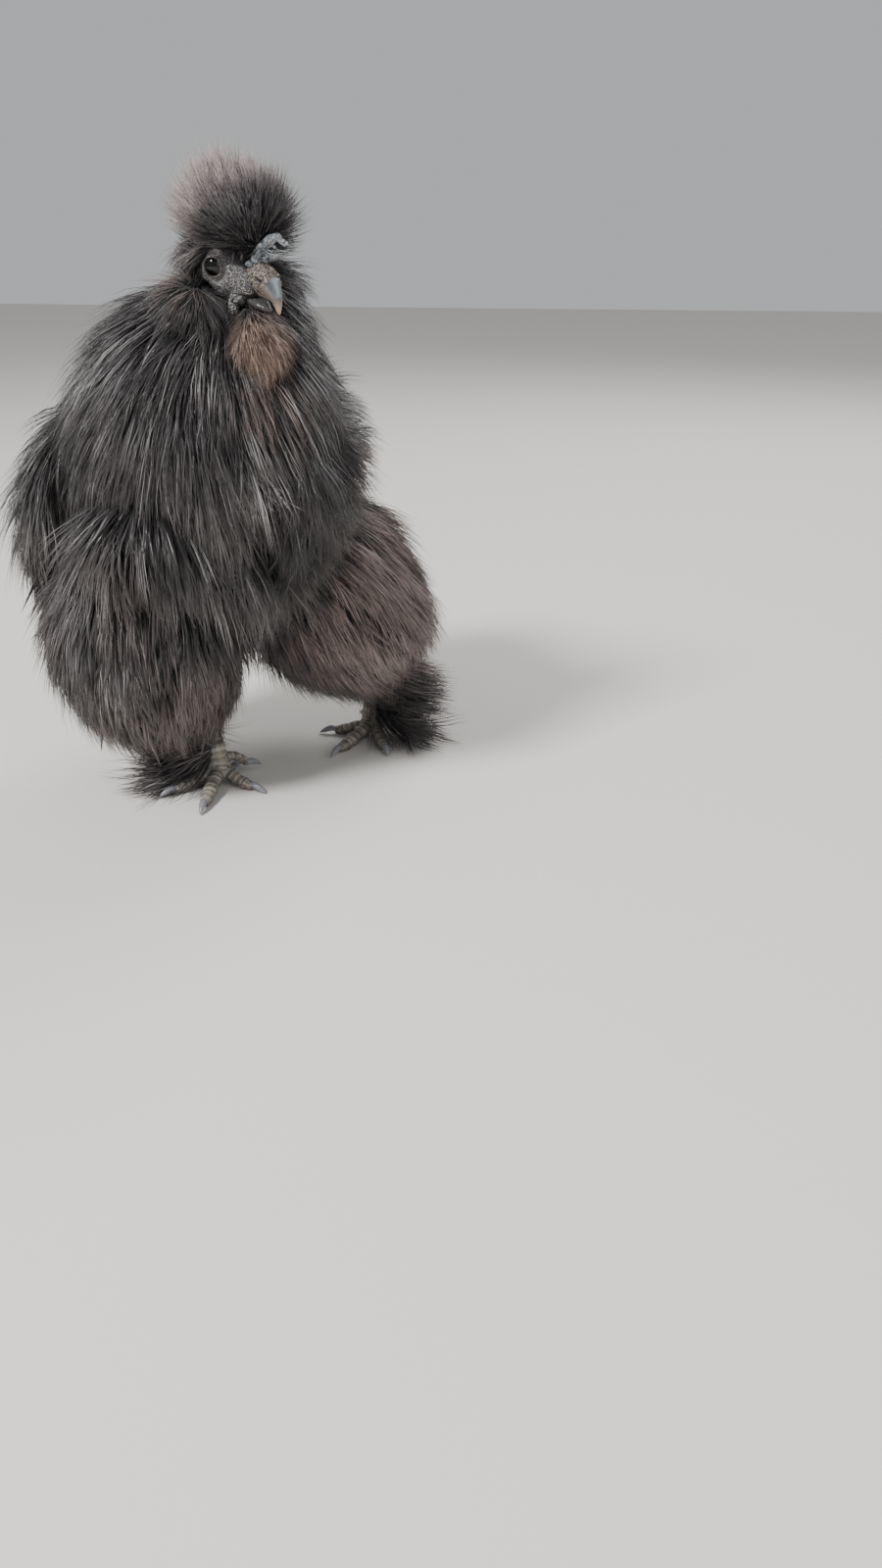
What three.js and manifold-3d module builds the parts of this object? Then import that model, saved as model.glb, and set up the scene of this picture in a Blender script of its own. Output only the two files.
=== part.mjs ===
// A life-size silkie chicken, stepping forward and looking to its left.
// Millimetres, +Z up. The bird faces -Y and its left side is +X. The floor is z = 0.
import * as THREE from 'three';
import { mergeVertices } from 'three/addons/utils/BufferGeometryUtils.js';
import Module from 'manifold-3d';

const wasm = await Module();
wasm.setup();

// Driving sizes
const GAP = 0.3;                 // clearance between two nodes that meet
const HEAD_AT = [40.7, -50, 300.7];
const HEAD_YAW = 54;             // degrees to the bird's left
const HEAD_PITCH = 20;           // degrees down
const HEAD_ROLL = -10;           // degrees, crown towards the bird's right
const EYE_RADIUS = 6.4;
const EYE_AT = [9.3, 1, 0.8];    // in the head's own frame, mirrored for the right eye
const EYE_LOOK = [0.85, -0.48, 0.2];

const vec = (a) => new THREE.Vector3(...a);
const radians = THREE.MathUtils.degToRad;
const clamp = THREE.MathUtils.clamp;

// A repeatable random draw, so that every build gives the same bird.
let seed = 7;
function draw(spread = 1) {
  seed = (seed * 1664525 + 1013904223) % 4294967296;
  return (seed / 4294967296 - 0.5) * 2 * spread;
}

// Value of a smooth curve through evenly spaced knots, at share s from 0 to 1.
function along(knots, s) {
  const x = clamp(s, 0, 1) * (knots.length - 1);
  const i = Math.min(Math.floor(x), knots.length - 2);
  const t = x - i;
  const before = knots[Math.max(i - 1, 0)];
  const after = knots[Math.min(i + 2, knots.length - 1)];
  const [a, b] = [knots[i], knots[i + 1]];
  return 0.5 * (2 * a + (b - before) * t + (2 * before - 5 * a + 4 * b - after) * t * t
    + (3 * a - before - 3 * b + after) * t * t * t);
}

// A closed three.js geometry, its vertices moved by a function, as a solid that faces out.
function solidOf(geometry, move = (p) => p) {
  const bare = geometry.clone();
  bare.deleteAttribute('normal');
  bare.deleteAttribute('uv');
  const place = bare.getAttribute('position');
  for (let i = 0; i < place.count; i++) {
    const p = move(new THREE.Vector3().fromBufferAttribute(place, i));
    place.setXYZ(i, p.x, p.y, p.z);
  }
  const merged = mergeVertices(bare, 1e-4);
  const vertProperties = merged.getAttribute('position').array;
  const triVerts = new Uint32Array(merged.index.array);
  const made = new wasm.Manifold(new wasm.Mesh({ numProp: 3, vertProperties, triVerts }));
  if (made.volume() >= 0) return made;
  for (let i = 0; i < triVerts.length; i += 3) {
    [triVerts[i + 1], triVerts[i + 2]] = [triVerts[i + 2], triVerts[i + 1]];
  }
  return new wasm.Manifold(new wasm.Mesh({ numProp: 3, vertProperties, triVerts }));
}

// A solid as a three.js geometry.
function geometryOf(solid) {
  const mesh = solid.getMesh();
  const place = new Float32Array(mesh.numVert * 3);
  for (let i = 0; i < mesh.numVert; i++) {
    place.set(mesh.vertProperties.subarray(i * mesh.numProp, i * mesh.numProp + 3), i * 3);
  }
  const made = new THREE.BufferGeometry();
  made.setAttribute('position', new THREE.BufferAttribute(place, 3));
  made.setIndex(new THREE.BufferAttribute(new Uint32Array(mesh.triVerts), 1));
  made.computeVertexNormals();
  return made;
}

const joined = (solids) => solids.reduce((whole, one) => whole.add(one));
const cut = (solid, tools) => tools.reduce((left, tool) => left.subtract(tool), solid);

// The largest closed surface of a solid.
function largest(solid) {
  const bodies = solid.decompose();
  return bodies.reduce((best, one) => (one.volume() > best.volume() ? one : best));
}

// A rounded form round a bent line: half sizes across, above and below the line at even steps along it.
class Form {
  constructor({ line, across, up = across, down = up, side = [1, 0, 0], ends = 0.8, around = 20, steps = 12,
    within = null }) {
    Object.assign(this, { across, up, down, ends, around, steps });
    const place = within ? within.matrixWorld : new THREE.Matrix4();
    const spots = line.map((p) => vec(p).applyMatrix4(place));
    this.curve = new THREE.CatmullRomCurve3(spots, false, 'centripetal');
    this.side = vec(side).transformDirection(place);
  }

  frame(s) {
    const tangent = this.curve.getTangent(clamp(s, 0.001, 0.999));
    const side = this.side.clone().addScaledVector(tangent, -this.side.dot(tangent)).normalize();
    const above = new THREE.Vector3().crossVectors(side, tangent).normalize();
    return { centre: this.curve.getPoint(s), tangent, side, above };
  }

  // The point at share s along the line and angle phi round it, where 90 degrees is above.
  bare(s, phi) {
    const { centre, side, above } = this.frame(s);
    const swell = Math.pow(Math.max(4 * s * (1 - s), 0), this.ends / 2);
    const [c, n] = [Math.cos(phi), Math.sin(phi)];
    return centre.addScaledVector(side, along(this.across, s) * swell * c)
      .addScaledVector(above, along(n > 0 ? this.up : this.down, s) * swell * n);
  }

  normal(s, phi) {
    const t = clamp(s, 0.012, 0.988);
    const e = 0.01;
    const ahead = this.bare(t + e, phi).sub(this.bare(t - e, phi));
    const round = this.bare(t, phi + e).sub(this.bare(t, phi - e));
    const out = new THREE.Vector3().crossVectors(ahead, round).normalize();
    const pole = this.frame(s).tangent.multiplyScalar(s < 0.5 ? -1 : 1);
    const near = clamp((0.012 - Math.min(s, 1 - s)) / 0.012, 0, 1);
    return out.lerp(pole, near).normalize();
  }

  point(s, phi, grow = 0) {
    return this.bare(s, phi).addScaledVector(this.normal(s, phi), grow);
  }

  solid(grow = 0) {
    const ball = new THREE.SphereGeometry(1, this.around, this.steps);
    return solidOf(ball, (p) => this.point((1 - clamp(p.y, -1, 1)) / 2, Math.atan2(p.z, p.x), grow));
  }
}

// One flat, tapered lock. It leaves its root at an angle to the coat and bends as it goes.
function lock({ root, out, lie, length, width, thick, lift, bend = -20, sink = 5, arch = 0.16, parts = 3, fat = 0 }) {
  const forward = lie.clone().addScaledVector(out, -lie.dot(out)).normalize();
  const side = new THREE.Vector3().crossVectors(forward, out).normalize();
  const spots = [];
  const at = root.clone().addScaledVector(out, -sink);
  for (let i = 0; i <= parts; i++) {
    const u = i / parts;
    const angle = radians(lift + bend * u);
    const ahead = forward.clone().multiplyScalar(Math.cos(angle)).addScaledVector(out, Math.sin(angle));
    const face = out.clone().multiplyScalar(Math.cos(angle)).addScaledVector(forward, -Math.sin(angle));
    if (i) at.addScaledVector(ahead, (length + sink + fat) / parts);
    const slim = Math.sqrt(1 - u) * (0.5 + 1.1 * u);
    spots.push({ at: at.clone(), face, slim });
  }
  const prism = new THREE.ConeGeometry(1, parts, 4, parts);
  return solidOf(prism, (p) => {
    const i = Math.round(p.y + parts / 2);
    const { at: middle, face, slim } = spots[i];
    const more = i < parts ? fat : 0;
    const onRim = i < parts && Math.hypot(p.x, p.z) > 1e-6 ? 1 : 0;
    const turn = Math.atan2(p.z, p.x);
    const across = Math.round(Math.cos(turn)) * onRim * (width * 0.5 * slim + more);
    const deep = Math.round(Math.sin(turn)) * onRim * (thick * 0.5 * Math.sqrt(slim) + more);
    return middle.clone().addScaledVector(side, across).addScaledVector(face, deep - Math.abs(across) * arch);
  });
}

// Solids that a new piece has to stay clear of, by node.
const placed = [];
const boxesMeet = (a, b) => [0, 1, 2].every((k) => a.min[k] < b.max[k] && b.min[k] < a.max[k]);
function settle(node, solid) {
  placed.push({ node, solid, box: solid.boundingBox() });
  return solid;
}
function clear(node, solid) {
  const box = solid.boundingBox();
  return placed.every((other) => other.node === node || !boxesMeet(box, other.box)
    || solid.intersect(other.solid).volume() < 1e-6);
}

// Locks in rows on a form. Each is lifted until it is clear of the other nodes, or left out.
function coat(name, form, rows, lie, steepest = 24) {
  const locks = [];
  rows.forEach((row, r) => {
    const { s, from = 0, to = 360, count, length, width, thick = 3, lift, bend = -18, parts = 3 } = row;
    const whole = to - from >= 359;
    for (let k = 0; k < count; k++) {
      const stagger = whole ? 0.5 * (r % 2) : 0.25 + 0.5 * (r % 2);
      const phi = radians(from + (to - from) * (k + stagger) / count + draw(2));
      const at = s + draw(0.008);
      const root = form.point(at, phi);
      const out = form.normal(at, phi);
      const size = 1 + draw(0.1);
      const way = lie(root, out, row).normalize().applyAxisAngle(out, draw(0.1));
      for (let raise = 0; raise <= steepest; raise += 8) {
        const shape = { root, out, lie: way, length: length * size, width, thick, lift: lift + raise, bend, parts };
        const roomy = lock({ ...shape, fat: GAP });
        if (roomy.boundingBox().min[2] < 0.8 || !clear(name, roomy)) continue;
        locks.push(settle(name, lock(shape)));
        break;
      }
    }
  });
  return locks;
}

const group = new THREE.Group();
const frames = {};
function addFrame(name, at, [pitch, roll, yaw]) {
  const made = new THREE.Group();
  made.name = name;
  made.position.set(...at);
  made.rotation.set(radians(pitch), radians(roll), radians(yaw), 'ZXY');
  made.updateMatrixWorld(true);
  group.add(made);
  frames[name] = made;
  return made;
}

const colour = (hex, roughness = 0.8, metalness = 0) => new THREE.MeshStandardMaterial({
  color: hex, roughness, metalness,
});
const finishes = {
  plumage: colour(0x2a2422),
  crestPlumage: colour(0x4a3d3a),
  beardPlumage: colour(0x4b3a31),
  thighPlumage: colour(0x3a302d),
  faceSkin: colour(0x4c4a4d, 0.6),
  combSkin: colour(0x5f666f, 0.55),
  beakHorn: colour(0x6c6862, 0.35),
  eye: colour(0x0a0a0c, 0.1),
  footSkin: colour(0x55585c, 0.6),
  claw: colour(0x35353a, 0.4),
};

// A solid made in the bird's frame, kept as a named mesh inside one of the nested frames.
function addNode(name, solid, finish, parent = group) {
  parent.updateMatrixWorld(true);
  const geometry = geometryOf(largest(solid));
  geometry.applyMatrix4(parent.matrixWorld.clone().invert());
  const mesh = new THREE.Mesh(geometry, finish);
  mesh.name = name;
  parent.add(mesh);
  return mesh;
}

function ball(centre, radius, within, stretch = [1, 1, 1], around = 16, steps = 12) {
  const place = within ? within.matrixWorld : new THREE.Matrix4();
  const shape = new THREE.SphereGeometry(radius, around, steps);
  return solidOf(shape, (p) => p.multiply(vec(stretch)).add(vec(centre)).applyMatrix4(place));
}

const sides = ['right', 'left'];
const head = addFrame('head_frame', HEAD_AT, [HEAD_PITCH, HEAD_ROLL, HEAD_YAW]);
const feet = {
  right: addFrame('right_foot_frame', [2, -31, 0], [0, 0, 7]),
  left: addFrame('left_foot_frame', [78, 64, 0], [0, 0, -20]),
};

const forms = {
  torso: new Form({
    line: [[-10, -100, 172], [-8, -50, 160], [-5, 0, 154], [5, 50, 158], [13, 108, 172]],
    across: [48, 64, 72, 76, 60],
    up: [46, 60, 66, 68, 58],
    down: [40, 50, 60, 66, 52],
    around: 16,
    steps: 12,
  }),
  neck: new Form({
    line: [[0, -36, 160], [4, -40, 200], [16, -40, 230], [25, -38, 258], [31, -33, 284], [32, -27, 304]],
    across: [66, 69, 65, 56, 43, 28],
    up: [56, 58, 51, 36, 22, 12],
    down: [56, 58, 54, 48, 40, 30],
    ends: 0.5,
    around: 16,
    steps: 10,
  }),
  thigh_right: new Form({
    line: [[-27, -22, 158], [-30, -40, 124], [-27, -40, 88], [-16, -32, 58], [-8, -22, 32]],
    across: [44, 59, 57, 41, 18],
    up: [40, 54, 54, 40, 16],
    around: 16,
    steps: 10,
  }),
  thigh_left: new Form({
    line: [[50, 30, 172], [56, 38, 142], [59, 44, 108], [64, 50, 76], [72, 54, 44]],
    across: [32, 43, 54, 58, 44],
    up: [34, 42, 47, 46, 34],
    around: 16,
    steps: 10,
  }),
  wing_right: new Form({
    line: [[-54, -44, 230], [-72, -36, 198], [-82, -26, 158], [-87, -14, 108]],
    across: [26, 40, 40, 20],
    up: [12, 14, 13, 8],
    side: [0, 1, 0],
    around: 14,
    steps: 8,
  }),
  wing_left: new Form({
    line: [[58, -38, 236], [72, -34, 204], [69, -28, 172], [56, -18, 140]],
    across: [24, 36, 34, 14],
    up: [11, 13, 12, 8],
    side: [0, 1, 0],
    around: 14,
    steps: 8,
  }),
  tail: new Form({
    line: [[9, 14, 176], [10, 50, 190], [12, 84, 208], [13, 112, 208]],
    across: [46, 56, 50, 28],
    up: [30, 40, 40, 24],
    around: 12,
    steps: 7,
  }),
  skull: new Form({
    line: [[0, -23, -4], [0, -6, -1], [0, 10, 1], [0, 25, -3]],
    across: [10, 13.5, 15, 12],
    up: [10, 14, 16, 13],
    down: [13, 18, 18, 14],
    ends: 0.6,
    around: 14,
    steps: 10,
    within: head,
  }),
  crest: new Form({
    line: [[7, -16, 16], [7, 0, 19], [5, 15, 13], [2, 25, 0]],
    across: [18, 20, 17, 12],
    up: [17, 19, 17, 12],
    ends: 0.9,
    around: 12,
    steps: 9,
    within: head,
  }),
  beard: new Form({
    line: [[-1, -16, -13], [-7, -28, -26], [-13, -35, -42]],
    across: [14, 17, 13],
    up: [9, 12, 10],
    around: 14,
    steps: 8,
    within: head,
  }),
  muff_right: new Form({
    line: [[-15, 3, -8], [-22, 2, -16], [-25, 3, -27]],
    across: [11, 13, 9],
    side: [0, 1, 0],
    around: 10,
    steps: 6,
    within: head,
  }),
  muff_left: new Form({
    line: [[15, 3, -8], [22, 2, -16], [25, 3, -27]],
    across: [11, 13, 9],
    side: [0, 1, 0],
    around: 10,
    steps: 6,
    within: head,
  }),
};

// The solid of each form, cut clear of the neighbours that it meets.
const nodes = {};
function build(name, neighbours, more = []) {
  const tools = neighbours.map((other) => forms[other].solid(GAP));
  nodes[name] = settle(name, largest(cut(forms[name].solid(), [...tools, ...more])));
}

// Head: skull, lids, line of the mouth
const mirror = { right: -1, left: 1 };
const eyeSpot = (side) => [mirror[side] * EYE_AT[0], EYE_AT[1], EYE_AT[2]];
// A point by its place ahead, above and outside of an eye's centre, along the way that the eye looks.
function atEye(side, ahead, above, outside) {
  const look = new THREE.Vector3(mirror[side] * EYE_LOOK[0], EYE_LOOK[1], EYE_LOOK[2]).normalize();
  const front = new THREE.Vector3(0, -1, 0).addScaledVector(look, look.y).normalize();
  const top = new THREE.Vector3().crossVectors(look, front).multiplyScalar(-mirror[side]);
  return vec(eyeSpot(side)).addScaledVector(front, ahead).addScaledVector(top, above)
    .addScaledVector(look, outside).applyMatrix4(head.matrixWorld);
}
function lidOpening(side) {
  const bar = new THREE.CylinderGeometry(1, 1, 12, 12);
  return solidOf(bar, (p) => atEye(side, p.x * 5.3, p.z * 4.9, p.y + 9));
}
function onSkull(target) {
  let best = null;
  for (let s = 0.3; s < 0.8; s += 0.02) {
    for (let phi = 0; phi < 2 * Math.PI; phi += 0.06) {
      const spot = forms.skull.bare(s, phi);
      if (!best || spot.distanceTo(target) < best.distanceTo(target)) best = spot;
    }
  }
  return best;
}
// The bare skin round the eye is raised to an oval rim.
function orbitRim(side, grow) {
  const spots = Array.from({ length: 10 }, (_, i) => {
    const a = i * Math.PI / 5;
    return onSkull(atEye(side, 1.5 + 9.5 * Math.cos(a), 8 * Math.sin(a) - 1.2 * Math.cos(a), 5));
  });
  return solidOf(new THREE.TubeGeometry(new THREE.CatmullRomCurve3(spots, true), 12, 1.2 + grow, 4, true));
}
// What stands out from the skull: lids, rim, earlobe and wattle of each side.
const lumps = (grow) => sides.flatMap((side) => [
  ball(eyeSpot(side), EYE_RADIUS + 1.1 + grow, head, [1, 1, 1], 10, 7),
  orbitRim(side, grow),
  ball([mirror[side] * 14, 8, -6], 4.2 + grow, head, [0.6, 0.9, 1.3], 7, 5),
  ball([mirror[side] * 7, -10.5, -16], 4 + grow, head, [0.7, 0.9, 1.4], 7, 5),
]);
const beakUpper = new Form({
  line: [[0, -41, -9.5], [0, -37.5, -1], [0, -29, 4], [0, -16, 3]],
  across: [2, 4, 7, 8.5],
  up: [2.4, 4, 5.5, 7],
  down: [2, 6, 10, 9],
  ends: 0.9,
  around: 10,
  steps: 9,
  within: head,
});
const beakLower = new Form({
  line: [[0, -34, -10.8], [0, -25, -10.4], [0, -13, -9.6]],
  across: [2.2, 4.6, 6.4],
  up: [1.6, 2.4, 2.8],
  down: [1.8, 3, 4],
  ends: 0.9,
  around: 10,
  steps: 6,
  within: head,
});
const cere = (grow) => ball([0, -25, 5.6], 5 + grow, head, [1.25, 1.5, 0.9], 10, 7);
const socket = (side) => ball(eyeSpot(side), EYE_RADIUS + 1.5 * GAP, head, [1, 1, 1], 12, 8);
const gape = (side) => ball([mirror[side] * 9, -16, -9], 4, head, [0.9, 1.6, 0.22], 8, 4);
const headSolid = largest(cut(joined([forms.skull.solid(), ...lumps(0)]), [
  ...sides.flatMap((side) => [socket(side), lidOpening(side), gape(side)]),
  beakUpper.solid(GAP), beakLower.solid(GAP), cere(GAP),
]));
settle('head', headSolid);
const eyes = Object.fromEntries(sides.map((side) => [side, ball(eyeSpot(side), EYE_RADIUS, head, [1, 1, 1], 12, 8)]));

// The comb curls forward over the beak, with a row of points along its front edge.
const combSpine = new Form({
  line: [[-0.5, -18.5, 7], [1, -20, 12], [4.5, -23.5, 18.5], [8, -28, 22], [10, -31.5, 20]],
  across: [2.8, 2.8, 2.8, 2.4, 1.4],
  up: [2.2, 2.8, 2.6, 2, 1.2],
  side: [0.35, -0.8, -0.5],
  ends: 0.5,
  around: 8,
  steps: 8,
  within: head,
});
function combSolid() {
  const lobes = [[-1, -21.5, 10], [2.5, -23.5, 10.5]].map((p) => ball(p, 2.8, head, [1, 1, 0.8], 8, 6));
  const points = [0.35, 0.53, 0.7, 0.87].map((share) => {
    const root = head.worldToLocal(combSpine.curve.getPoint(share)).toArray();
    const ahead = (d) => [root[0] + 3.2 * d, root[1] - 6 * d, root[2] - (1.8 + 0.8 * d) * d];
    return new Form({
      line: [ahead(-0.1), ahead(0.5), ahead(1.15)],
      across: [1.3, 1.25, 0.9],
      around: 5,
      steps: 4,
      within: head,
    }).solid();
  });
  return joined([combSpine.solid(), ...lobes, ...points]);
}
const comb = largest(cut(combSolid(), [forms.skull.solid(GAP), beakUpper.solid(GAP), cere(GAP)]));
settle('comb', comb);
const nostrils = sides.map((side) => ball([mirror[side] * 6, -30.5, 5], 1.7, head, [1, 1.9, 0.6], 8, 6));
const upper = largest(cut(beakUpper.solid().add(cere(0)), nostrils));
const lower = largest(beakLower.solid().subtract(beakUpper.solid(GAP)));
settle('beak_upper', upper);
settle('beak_lower', lower);

const roundHead = lumps(1.6 * GAP);
build('torso', []);
build('neck', ['torso', 'skull'], roundHead);
build('thigh_right', ['torso']);
build('thigh_left', ['torso', 'thigh_right']);
build('wing_right', ['torso', 'neck', 'thigh_right']);
build('wing_left', ['torso', 'neck', 'thigh_left']);
build('tail', ['torso']);
build('crest', ['skull', 'neck'], [...roundHead, combSolid()]);
build('beard', ['skull', 'neck'], [...roundHead, beakLower.solid(GAP), beakUpper.solid(GAP)]);
build('muff_right', ['skull', 'neck', 'beard'], roundHead);
build('muff_left', ['skull', 'neck', 'beard'], roundHead);

// Feet: five toes each, the fifth raised behind. Turn is in degrees from the middle toe, towards the inner side.
const toes = [
  { digit: 3, turn: 0, length: 40, radius: 4.4, rings: 5 },
  { digit: 2, turn: 62, length: 27, radius: 3.9, rings: 4 },
  { digit: 4, turn: -48, length: 32, radius: 3.9, rings: 4 },
  { digit: 1, turn: 165, length: 17, radius: 3.6, rings: 2 },
  { digit: 5, turn: 128, length: 19, radius: 3.2, rings: 2, raised: true },
];
function toeLine({ turn, length, radius, raised }, side) {
  const angle = radians(turn) * -mirror[side];
  const ahead = (d, z) => [Math.sin(angle) * d, -Math.cos(angle) * d, z];
  const low = radius - 0.5;
  return raised
    ? [ahead(0, 14), ahead(length * 0.5, 15), ahead(length * 0.85, 11), ahead(length, 8)]
    : [ahead(0, 9), ahead(length * 0.4, low + 2.5), ahead(length * 0.8, low), ahead(length, low - 0.4)];
}
function toeForm(toe, side) {
  const knots = Array.from({ length: toe.rings * 2 + 1 }, (_, i) => toe.radius * (1.12 - 0.3 * i / (toe.rings * 2))
    * (i % 2 ? 1.05 : 0.92));
  return new Form({
    line: toeLine(toe, side),
    across: knots,
    up: knots,
    down: knots.map((r) => r * 0.9),
    ends: 0.35,
    around: 7,
    steps: toe.rings * 2,
    within: feet[side],
  });
}
function clawForm(toe, side) {
  const angle = radians(toe.turn) * -mirror[side];
  const ahead = (d, z) => [Math.sin(angle) * d, -Math.cos(angle) * d, z];
  const z = toe.raised ? 8 : toe.radius - 0.6;
  const from = toe.length - 3;
  return new Form({
    line: [ahead(from, z), ahead(from + 5, z + 1), ahead(from + 10, z - 0.8), ahead(from + 13, Math.max(z - 3.2, 0.8))],
    across: [2.6, 2.3, 1.6, 1],
    up: [2.4, 2.1, 1.5, 0.9],
    ends: 0.8,
    around: 6,
    steps: 4,
    within: feet[side],
  });
}
const shanks = {
  right: new Form({
    line: [[-16, 22, 56], [-10, 12, 34], [-2, 2, 12], [0, -3, 6]],
    across: [9, 8, 8, 9],
    up: [9, 8, 8, 7],
    ends: 0.3,
    around: 8,
    steps: 6,
    within: feet.right,
  }),
  left: new Form({
    line: [[2, 2, 62], [1, 4, 36], [0, 1, 12], [0, -3, 6]],
    across: [9, 8, 8, 9],
    up: [9, 8, 8, 7],
    ends: 0.3,
    around: 8,
    steps: 6,
    within: feet.left,
  }),
};
const underFloor = solidOf(new THREE.BoxGeometry(600, 600, 40), (p) => p.add(new THREE.Vector3(0, 0, -20)));
const footSolids = {};
const claws = {};
for (const side of sides) {
  const toeForms = toes.map((toe) => toeForm(toe, side));
  claws[side] = toes.map((toe, i) => largest(clawForm(toe, side).solid().subtract(toeForms[i].solid(GAP))
    .subtract(underFloor)));
  claws[side].forEach((claw, i) => settle(`claw_${side}_${toes[i].digit}`, claw));
  const foot = joined([shanks[side].solid(), ...toeForms.map((form) => form.solid())]);
  footSolids[side] = settle(`foot_${side}`, largest(cut(foot, [underFloor, forms[`thigh_${side}`].solid(GAP)])));
}

// The lie of the plumage: down, mixed with away from the body and towards the tail.
const lean = (x, y, z) => () => new THREE.Vector3(x, y, z);
const outward = (share, x = 0, y = 0, z = -1) => (root, out) => new THREE.Vector3(x, y, z).addScaledVector(out, share);
const rowsOf = (count, make) => Array.from({ length: count }, (_, i) => make(i / Math.max(count - 1, 1), i));
const coats = {
  crest: {
    rows: rowsOf(5, (t) => ({
      s: 0.08 + 0.84 * t, count: Math.round(4 + 4 * Math.sin(Math.PI * (0.1 + 0.8 * t))),
      length: 16, width: 18, lift: 58 - 20 * t, bend: -24, parts: 2,
    })),
    lie: (root, out) => out.clone().cross(new THREE.Vector3(1, 0.6, 0)).add(new THREE.Vector3(0, 0.4, 0.5)),
  },
  beard: {
    rows: rowsOf(3, (t) => ({ s: 0.3 + 0.5 * t, count: 5, length: 20, width: 15, lift: 20, bend: -20, parts: 2 })),
    lie: lean(0.1, 0, -1),
  },
  muff_right: {
    rows: rowsOf(2, (t) => ({ s: 0.35 + 0.35 * t, count: 5, length: 20, width: 16, lift: 20, bend: -24, parts: 2 })),
    lie: lean(-0.5, 0.1, -1),
  },
  muff_left: {
    rows: rowsOf(2, (t) => ({ s: 0.35 + 0.35 * t, count: 5, length: 20, width: 16, lift: 20, bend: -24, parts: 2 })),
    lie: lean(0.5, 0.4, -0.8),
  },
  neck: {
    rows: rowsOf(5, (t) => ({
      s: 0.92 - 0.58 * t, count: Math.round(8 + 4 * Math.sqrt(t)), length: 46 + 12 * t,
      width: 24 + 9 * t, thick: 3.6, lift: 16 + 8 * t, bend: -30 + 6 * t, parts: t < 0.3 ? 2 : 3,
    })),
    lie: outward(0.25),
  },
  wing_right: {
    rows: rowsOf(4, (t) => ({
      s: 0.16 + 0.76 * t, from: -20, to: 200, count: 4, length: 44 + 14 * t,
      width: 26 - 6 * t, thick: 3.4, lift: 10 + 4 * t, bend: -20, parts: t < 0.5 ? 2 : 3,
    })),
    lie: lean(-0.2, 0.2, -1),
  },
  wing_left: {
    rows: rowsOf(4, (t) => ({
      s: 0.16 + 0.72 * t, from: 160, to: 380, count: 4, length: 44 - 10 * t,
      width: 26 - 6 * t, thick: 3.4, lift: 16, bend: -22, parts: 2,
    })),
    lie: lean(-0.15, 0.1, -1),
  },
  tail: {
    rows: rowsOf(4, (t) => ({
      s: 0.3 + 0.56 * t, count: 9 - Math.round(4 * t), length: 34, width: 27, thick: 3.8, lift: 26, bend: -26, parts: 2,
    })),
    lie: (root, out) => new THREE.Vector3(0, 1, 0.1).addScaledVector(out, 0.3),
  },
  thigh_right: {
    rows: rowsOf(4, (t) => ({
      s: 0.36 + 0.52 * t, count: Math.round(11 - 5 * t * t), length: 46 - 12 * t, width: 35 - 8 * t,
      thick: 3.6, lift: 28, bend: -24, parts: 2,
    })),
    lie: outward(0.05),
  },
  thigh_left: {
    rows: rowsOf(4, (t) => ({
      s: 0.2 + 0.68 * t, count: Math.round(10 - 3 * t * t), length: 48 - 12 * t, width: 33 - 7 * t,
      thick: 3.6, lift: 28, bend: -24, parts: 2,
    })),
    lie: outward(0.3, 0.15, 0.1),
  },
  torso: {
    rows: rowsOf(6, (t) => ({
      s: 0.03 + 0.89 * t, count: Math.round(4 + 8 * Math.sin(Math.PI * (0.1 + 0.8 * t))), length: 46,
      width: 34, thick: 3.8, lift: 24, bend: -24, parts: 2,
    })),
    lie: (root) => (root.y < -60 ? new THREE.Vector3(0, 0, -1) : new THREE.Vector3(0, 1, -0.45)),
    steepest: 8,
  },
};

// Long feathers on the outer side of each foot, part of the foot's own solid.
function footFeathers(side) {
  const out = mirror[side];
  const spread = side === 'right' ? [-38, -140] : [-75, -165];
  const rows = [
    { share: 0.86, lift: 4, length: 56, turns: [0.05, 0.4, 0.75] },
    { share: 0.7, lift: 2, length: 58, turns: [0.22, 0.58, 0.92] },
    { share: 0.5, lift: -16, length: 52, turns: [0.1, 0.5, 0.9] },
  ];
  const feathers = [];
  for (const { share, lift, length, turns } of rows) {
    for (const t of turns) {
      const angle = radians(spread[0] + (spread[1] - spread[0]) * t) * -out + radians(side === 'right' ? 7 : -20);
      const outDir = new THREE.Vector3(Math.sin(angle), -Math.cos(angle), 0);
      const root = shanks[side].curve.getPoint(share).addScaledVector(outDir, 5);
      const shape = {
        root, out: new THREE.Vector3(0, 0, 1), lie: outDir, length: length * (1 + draw(0.1)), width: 19,
        thick: 3, lift, bend: -14, sink: 0, parts: 2,
      };
      const made = cut(lock(shape), [lowSlab]);
      if (clear(`foot_${side}`, lock({ ...shape, fat: GAP }))) feathers.push(settle(`foot_${side}`, made));
    }
  }
  return feathers;
}
const lowSlab = solidOf(new THREE.BoxGeometry(600, 600, 40), (p) => p.add(new THREE.Vector3(0, 0, -19)));

// The outer plumage goes on first, so that what lies under it is the one that gives way.
for (const [name, { rows, lie, steepest }] of Object.entries(coats)) {
  nodes[name] = joined([nodes[name], ...coat(name, forms[name], rows, lie, steepest)]);
}
for (const side of sides) footSolids[side] = joined([footSolids[side], ...footFeathers(side)]);

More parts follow.
